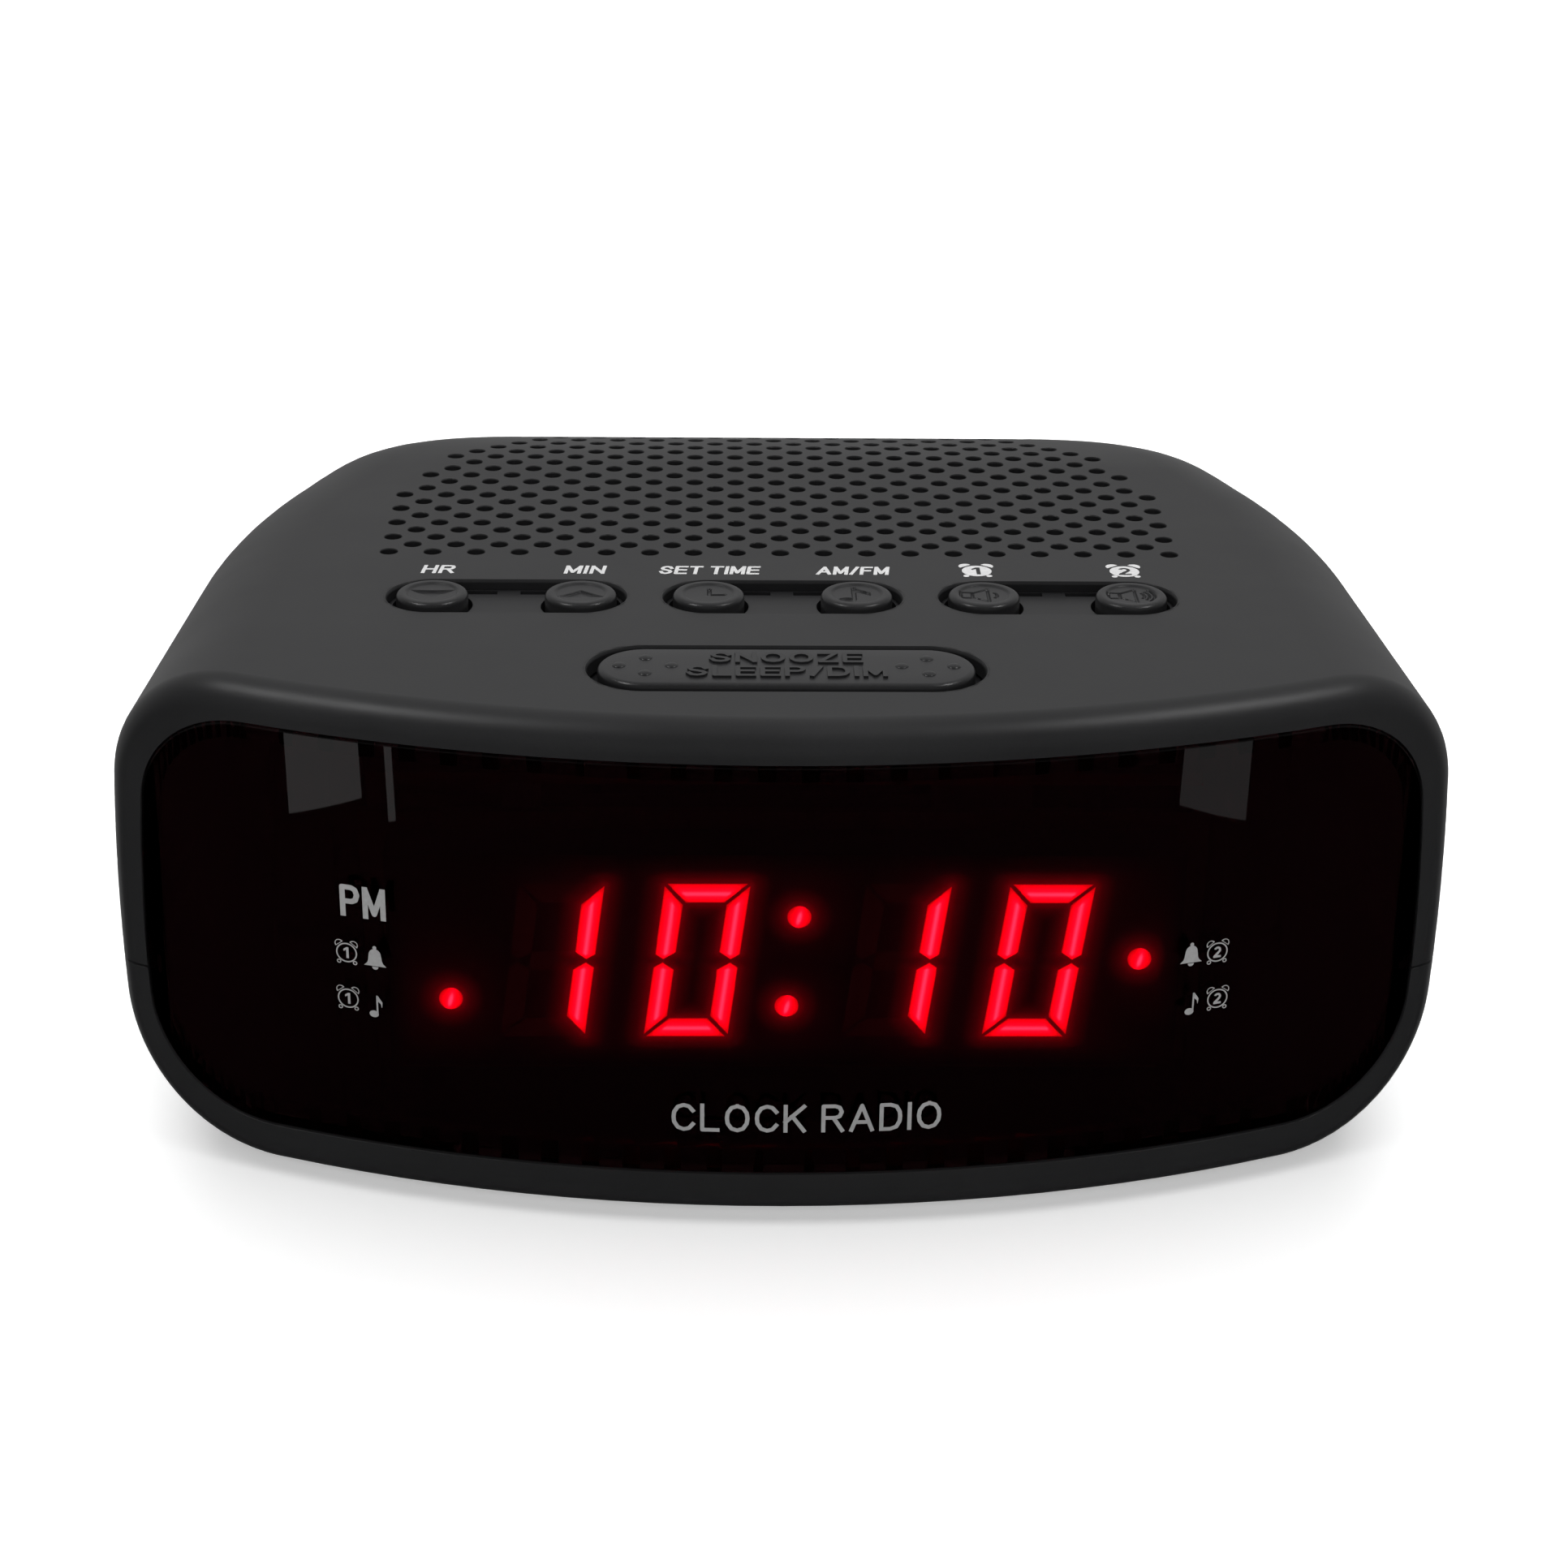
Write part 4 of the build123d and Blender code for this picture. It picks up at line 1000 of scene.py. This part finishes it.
# Rings are stadiums about one spine, with radius and height along a profile; stem and dimples are turned.
def snoozeMesh():
    s = snooze
    low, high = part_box("snooze_bar")
    y = (low.y + high.y) / 2 / mm
    top = high.z / mm - s["proud"]
    profile = [(0.0, top + 0.05), (3.0, top + 0.04), (s["radius"] - s["roll"], top)]
    profile += [(s["radius"] - s["roll"] * (1 - math.sin(t)), top - s["roll"] * (1 - math.cos(t)))
                for t in np.radians(np.linspace(12, 90, 7))]
    profile += [(s["radius"], s["flangeZ"]), (s["radius"] + s["flange"], s["flangeZ"]),
                (s["radius"] + s["flange"], s["lowZ"]), (0.0, s["lowZ"])]
    rings = [np.column_stack([stadiumRing(0, y, s["half"], r, s["sides"]), np.full(s["sides"], z)])
             for r, z in profile]
    bar = gridMesh("bar", np.stack(rings))
    foot = low.z / mm + s["footGap"]
    stemProfile = [(0, s["lowZ"]), (s["stem"], s["lowZ"]), (s["stem"], foot), (0, foot)]
    stem = gridMesh("stem", turnedGrid(stemProfile, 32, 0, y))
    meshes = [bar, stem]
    for side in (-1, 1):
        for dx, dy in s["dimples"]:
            turn = np.linspace(0, np.pi / 2, 9)
            dome = list(zip(s["dimpleRadius"] * np.sin(turn), top - 0.05 + s["dimpleHeight"] * np.cos(turn)))
            dome.append((0, top - 0.1))
            meshes.append(gridMesh("dimple", turnedGrid(dome, 24, side * s["dimpleX"] + dx, y + dy)))
    for words, width, dy in s["lines"]:
        mesh = wordsMesh(words, width, s["letterHeight"], s["letter"] + 0.1, 0.62)
        mesh.transform(Matrix.Scale(mm, 4) @ Matrix.Translation((0, y + dy, top - 0.05)))
        meshes.append(mesh)
    return joined("snoozeBar", meshes)


addPiece("snoozeBar", snoozeMesh(), "snooze_key", keyPlastic, ["snooze_bar"], 40)
print("snooze bar made")


# pieces that keep the drawn shape: merged, smooth below smoothAngle and given their real finish

grit = dict(grain=0.4, grainDepth=0.01, patch=8.0)
looks = {
    # rubber, plastics and moulding compounds: dull to satin
    "foot_rubber": ("moulded rubber, black", dict(dark="#161616", light="#1f1f1f", rough=(0.7, 0.85)),
                    dict(IOR=1.52)),
    "display_housing": ("matt black ABS, reflector", dict(dark="#0c0c0c", light="#121212", rough=(0.6, 0.7)),
                        dict(IOR=1.53)),
    "switch_plastic": ("glass filled nylon, black", dict(dark="#202020", light="#2b2b2b", rough=(0.4, 0.5)),
                       dict(IOR=1.54)),
    "chip_plastic": ("moulded epoxy, black", dict(dark="#1a1a1a", light="#232323", rough=(0.5, 0.62)),
                     dict(IOR=1.55)),
    "capacitor_sleeve": ("shrink sleeve, dark blue PVC",
                         dict(dark="#172448", light="#1d2e5a", rough=(0.2, 0.3)), dict(IOR=1.53)),
    "wire_insulation": ("PVC insulation, grey", dict(dark="#8b8c90", light="#a4a5a9", rough=(0.35, 0.45)),
                        dict(IOR=1.53)),
    # pressed laminate: fibres drawn along y
    "circuit_board": ("paper phenolic laminate", dict(dark="#8f6a35", light="#ad8a50", rough=(0.45, 0.6),
                                                      stretch=(1.0, 0.2, 1.0)), dict(IOR=1.55)),
    # speaker: sintered magnet, pulp cone, dipped cloth
    "magnet_ferrite": ("sintered ferrite", dict(dark="#2c2d2f", light="#3b3c3f", rough=(0.55, 0.7)),
                       dict(IOR=1.6)),
    "speaker_paper": ("pressed paper pulp, black", dict(grain=0.7, grainDepth=0.03, dark="#1b1a19",
                                                        light="#2a2827", rough=(0.85, 0.95)), dict(IOR=1.5)),
    "speaker_cloth": ("resin dipped cloth", dict(grain=0.5, grainDepth=0.05, dark="#4a3418", light="#6b4d26",
                                                 rough=(0.55, 0.7), stretch=(1.0, 3.0, 1.0)), dict(IOR=1.5)),
    # metals: spangled zinc, bright nickel, oil-blackened steel, wire turns lying across z
    "pressed_steel": ("zinc plated steel, pressed", dict(grain=1.2, dark="#9fa3a6", light="#c6c9cb",
                                                         rough=(0.28, 0.42), stretch=(1.0, 0.3, 1.0)),
                      dict(Metallic=1.0)),
    "plated_contact": ("nickel plated spring steel",
                       dict(dark="#aaa69e", light="#cfccc5", rough=(0.16, 0.28)), dict(Metallic=1.0)),
    "screw_steel": ("blackened steel", dict(dark="#2b2b2d", light="#3d3d40", rough=(0.35, 0.5)),
                    dict(Metallic=1.0)),
    "copper_winding": ("enamelled copper wire, wound", dict(grain=0.3, grainDepth=0.05, dark="#8c4720",
                                                            light="#c47a45", rough=(0.25, 0.38),
                                                            stretch=(0.12, 0.12, 1.0)), dict(Metallic=1.0)),
}
finishes = {slot: surface(name, {**grit, **look}, **inputs) for slot, (name, look, inputs) in looks.items()}
finishes["case_plastic"] = casePlastic
finishes["gland_rubber"] = finishes["foot_rubber"]
keptNodes = {
    "case_plastic": ("hour_minute_bridge", "time_band_bridge", "alarm_bridge", "battery_door"),
    "foot_rubber": ("foot_front_left", "foot_front_right", "foot_rear_left", "foot_rear_right"),
    "switch_plastic": ("hour_switch", "minute_switch", "set_time_switch", "band_switch", "alarm_one_switch",
                       "alarm_two_switch", "snooze_switch", "hour_plunger", "minute_plunger",
                       "set_time_plunger", "band_plunger", "alarm_one_plunger", "alarm_two_plunger",
                       "snooze_plunger"),
    "circuit_board": ("main_board", "key_board", "display_board"),
    "display_housing": ("display_reflector",),
    "chip_plastic": ("integrated_circuits",),
    "capacitor_sleeve": ("electrolytic_capacitors",),
    "pressed_steel": ("speaker_basket", "transformer_core"),
    "magnet_ferrite": ("speaker_magnet", "ferrite_rod"),
    "speaker_paper": ("speaker_cone", "dust_cap"),
    "speaker_cloth": ("speaker_spider",),
    "copper_winding": ("transformer_winding", "antenna_coil", "voice_coil"),
    "plated_contact": ("battery_plates", "battery_springs"),
    "gland_rubber": ("mains_cord_gland", "wire_antenna_gland"),
    "wire_insulation": ("inner_wiring",),
    "screw_steel": ("case_screws", "board_screws", "speaker_screws"),
}
for slotName, nodes in keptNodes.items():
    for node in nodes:
        words = node.split("_")
        name = words[0] + "".join(word.title() for word in words[1:])
        body = body_of(frame["nodes"][node])[0]
        addPiece(name, nodeCopy(name, node), body, finishes[slotName], [node], 28)


# Cloth surround: a quarter roll from the cone's edge up to the basket's flange, turned about the speaker's
# axis; its foot goes with the cone and its flange stays with the basket.
surround = dict(footRadius=23.3, footZ=59.5, roll=2.0, flangeZ=62.25, flangeRadius=27.6, thick=0.35,
                steps=14, sides=120)


def surroundMesh(x, y):
    c = surround
    turn = np.linspace(0, np.pi / 2, c["steps"])
    rise = c["flangeZ"] - c["footZ"]
    line = np.stack([c["footRadius"] + c["roll"] * (1 - np.cos(turn)), c["footZ"] + rise * np.sin(turn)], -1)
    line = np.concatenate([line, [(c["flangeRadius"], c["flangeZ"])]])
    run = np.gradient(line, axis=0)
    out = unit(np.stack([-run[:, 1], run[:, 0]], -1)) * c["thick"] / 2
    loop = np.concatenate([line + out, (line - out)[::-1], (line + out)[:1]])
    return gridMesh("speakerSurround", turnedGrid(loop, c["sides"], x, y))


low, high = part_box("speaker_surround")
middle = (low + high) / 2
surroundRing = surroundMesh(middle.x / mm, middle.y / mm)
speakerSurround = addPiece("speakerSurround", surroundRing, None, finishes["speaker_cloth"],
                           ["speaker_surround"], 50)
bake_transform(speakerSurround, "root", "cone", (middle.x, middle.y, (surround["flangeZ"] - 0.3) * mm),
         (middle.x, middle.y, (surround["footZ"] + 0.2) * mm))
print("inner pieces made")


# stage, light and camera

# A white rectangle of light at place, turned to face aim; power in watts.
def addArea(name, place, aim, size, power):
    light = bpy.data.lights.new(name, "AREA")
    light.shape = "RECTANGLE"
    light.size, light.size_y = size
    light.energy = power
    lamp = bpy.data.objects.new(name, light)
    lamp.location = place
    lamp.rotation_euler = (Vector(aim) - Vector(place)).to_track_quat("-Z", "Y").to_euler()
    bpy.context.scene.collection.objects.link(lamp)
    return lamp


view = dict(place=(-9.70, -420.44, 224.39), yaw=-1.472, tilt=90 - 24.393, roll=0.748, lens=70.83)
camera = bpy.data.objects.new("camera", bpy.data.cameras.new("camera"))
bpy.context.scene.collection.objects.link(camera)
camera.data.lens = view["lens"]
camera.data.sensor_width = 36.0
camera.data.clip_start = 0.01
turned = Matrix.Rotation(math.radians(view["yaw"]), 4, "Z")
turned = turned @ Matrix.Rotation(math.radians(view["tilt"]), 4, "X")
turned = turned @ Matrix.Rotation(math.radians(view["roll"]), 4, "Z")
camera.matrix_world = Matrix.Translation(Vector(view["place"]) * mm) @ turned
bpy.context.scene.camera = camera

# Stage: a round white floor, clear from below, inside a white globe that only the camera sees.
stageLook = dict(floorRadius=1.3, globeRadius=2.6, glow=0.36, sides=96, rows=33)
turn = np.arange(stageLook["sides"]) / stageLook["sides"] * 2 * np.pi
ring = np.stack([np.cos(turn), np.sin(turn), 0 * turn], -1)
floorMesh = meshFrom("floor", ring * stageLook["floorRadius"], [tuple(range(stageLook["sides"]))])
floor = bpy.data.objects.new("floor", floorMesh)
paper, paperTree, paperShader, _ = newMaterial("white paper sweep", {
    "Base Color": hexColour("#f4f4f4"), "Roughness": 0.9, "Specular IOR Level": 0.1,
    "Emission Color": hexColour("#ffffff"), "Emission Strength": stageLook["glow"],
})
under = addNode(paperTree, "ShaderNodeMixShader", {
    0: addNode(paperTree, "ShaderNodeNewGeometry").outputs["Backfacing"], 1: paperShader.outputs["BSDF"],
    2: addNode(paperTree, "ShaderNodeBsdfTransparent").outputs["BSDF"],
})
paperTree.links.new(under.outputs["Shader"], paperTree.nodes["Material Output"].inputs["Surface"])
floorMesh.materials.append(paper)

tilt = np.linspace(-np.pi / 2, np.pi / 2, stageLook["rows"])[:, None, None]
globe = (ring * np.cos(tilt) + np.array((0, 0, 1)) * np.sin(tilt)) * stageLook["globeRadius"]
globeMesh = tidyMesh(meshFrom("globe", globe, gridFaces(stageLook["rows"], stageLook["sides"], 0, True)))
backdrop = bpy.data.objects.new("globe", globeMesh)
white, _, _, _ = newMaterial("white backdrop, lit evenly", {
    "Base Color": hexColour("#000000"), "Specular IOR Level": 0.0,
    "Emission Color": hexColour("#ffffff"), "Emission Strength": 1.0,
})
globeMesh.materials.append(white)
for piece in (floor, backdrop):
    bpy.context.scene.collection.objects.link(piece)
    piece.visible_glossy = piece.visible_shadow = False
backdrop.visible_diffuse = backdrop.visible_transmission = False

# Studio: white behind the radio and above it, dark in front and under the horizon there.
studio = dict(rear=0.33, front=0.02, fill=1.2, band=0.08)
world = bpy.data.worlds.new("studio")
bpy.context.scene.world = world
world.use_nodes = True
sky = world.node_tree
ray = addNode(sky, "ShaderNodeSeparateXYZ", {0: addNode(sky, "ShaderNodeTexCoord").outputs["Generated"]})
rearward = addNode(sky, "ShaderNodeMapRange", {"Value": ray.outputs["Y"], "From Min": -0.15, "From Max": 0.7,
                                               "To Min": studio["front"], "To Max": studio["rear"]})
raised = addNode(sky, "ShaderNodeMath", {
    0: ray.outputs["Y"], 1: studio["fill"], 2: ray.outputs["Z"],
}, operation="MULTIPLY_ADD")
aloft = addNode(sky, "ShaderNodeMapRange", {
    "Value": raised.outputs["Value"], "From Min": -0.02, "From Max": 0.06,
})
seen = addNode(sky, "ShaderNodeMath", {
    0: rearward.outputs["Result"], 1: aloft.outputs["Result"],
}, operation="MULTIPLY")
fade = addNode(sky, "ShaderNodeMapRange", {"Value": ray.outputs["Z"], "From Min": 0.6, "From Max": 0.5})
climb = addNode(sky, "ShaderNodeMapRange", {"Value": ray.outputs["Z"], "From Min": 0.06, "From Max": 0.16,
                                            "To Max": studio["band"]})
band = addNode(sky, "ShaderNodeMath", {
    0: fade.outputs["Result"], 1: climb.outputs["Result"],
}, operation="MULTIPLY")
most = addNode(sky, "ShaderNodeMath", {
    0: seen.outputs["Value"], 1: band.outputs["Value"],
}, operation="MAXIMUM")
sky.nodes["Background"].inputs["Color"].default_value = hexColour("#ffffff")
link(sky, most.outputs["Value"], sky.nodes["Background"], "Strength")

# Broad soft lights, unseen in reflections.
for name, place, aim, size, power in (
    ("softboxTop", (0.0, 0.35, 1.5), (0, 0.1, 0), (2.2, 2.2), 34.0),
    ("fillFront", (0.0, -1.5, 0.9), (0, -0.1, 0), (1.8, 0.8), 9.0),
    ("fillRear", (0.0, 1.6, 0.8), (0, 0.1, 0), (1.8, 0.8), 14.0),
    ("fillBelow", (0.0, 0.0, -0.8), (0, 0, 0), (1.2, 1.2), 5.0),
):
    lamp = addArea(name, place, aim, size, power)
    lamp.visible_glossy = lamp.visible_camera = False
# Small ones seen only in reflections, on the lens and along the brow.
for name, place, aim, size, power in (
    ("glintLeft", (-0.249, -0.254, -0.054), (0, -0.06, 0.066), (0.046, 0.024), 0.0018),
    ("glintLine", (-0.190, -0.244, -0.038), (0, -0.06, 0.066), (0.004, 0.022), 0.00014),
    ("glintRight", (0.240, -0.254, -0.053), (0, -0.06, 0.066), (0.042, 0.022), 0.0009),
    ("browLeft", (-0.333, -0.105, 0.595), (-0.06, -0.06, 0.07), (0.16, 0.12), 0.55),
    ("browRight", (0.333, -0.105, 0.595), (0.06, -0.06, 0.07), (0.16, 0.12), 0.55),
):
    glint = addArea(name, place, aim, size, power)
    glint.visible_diffuse = glint.visible_camera = glint.visible_transmission = False
bpy.context.scene.view_settings.view_transform = "Standard"
print("stage set")
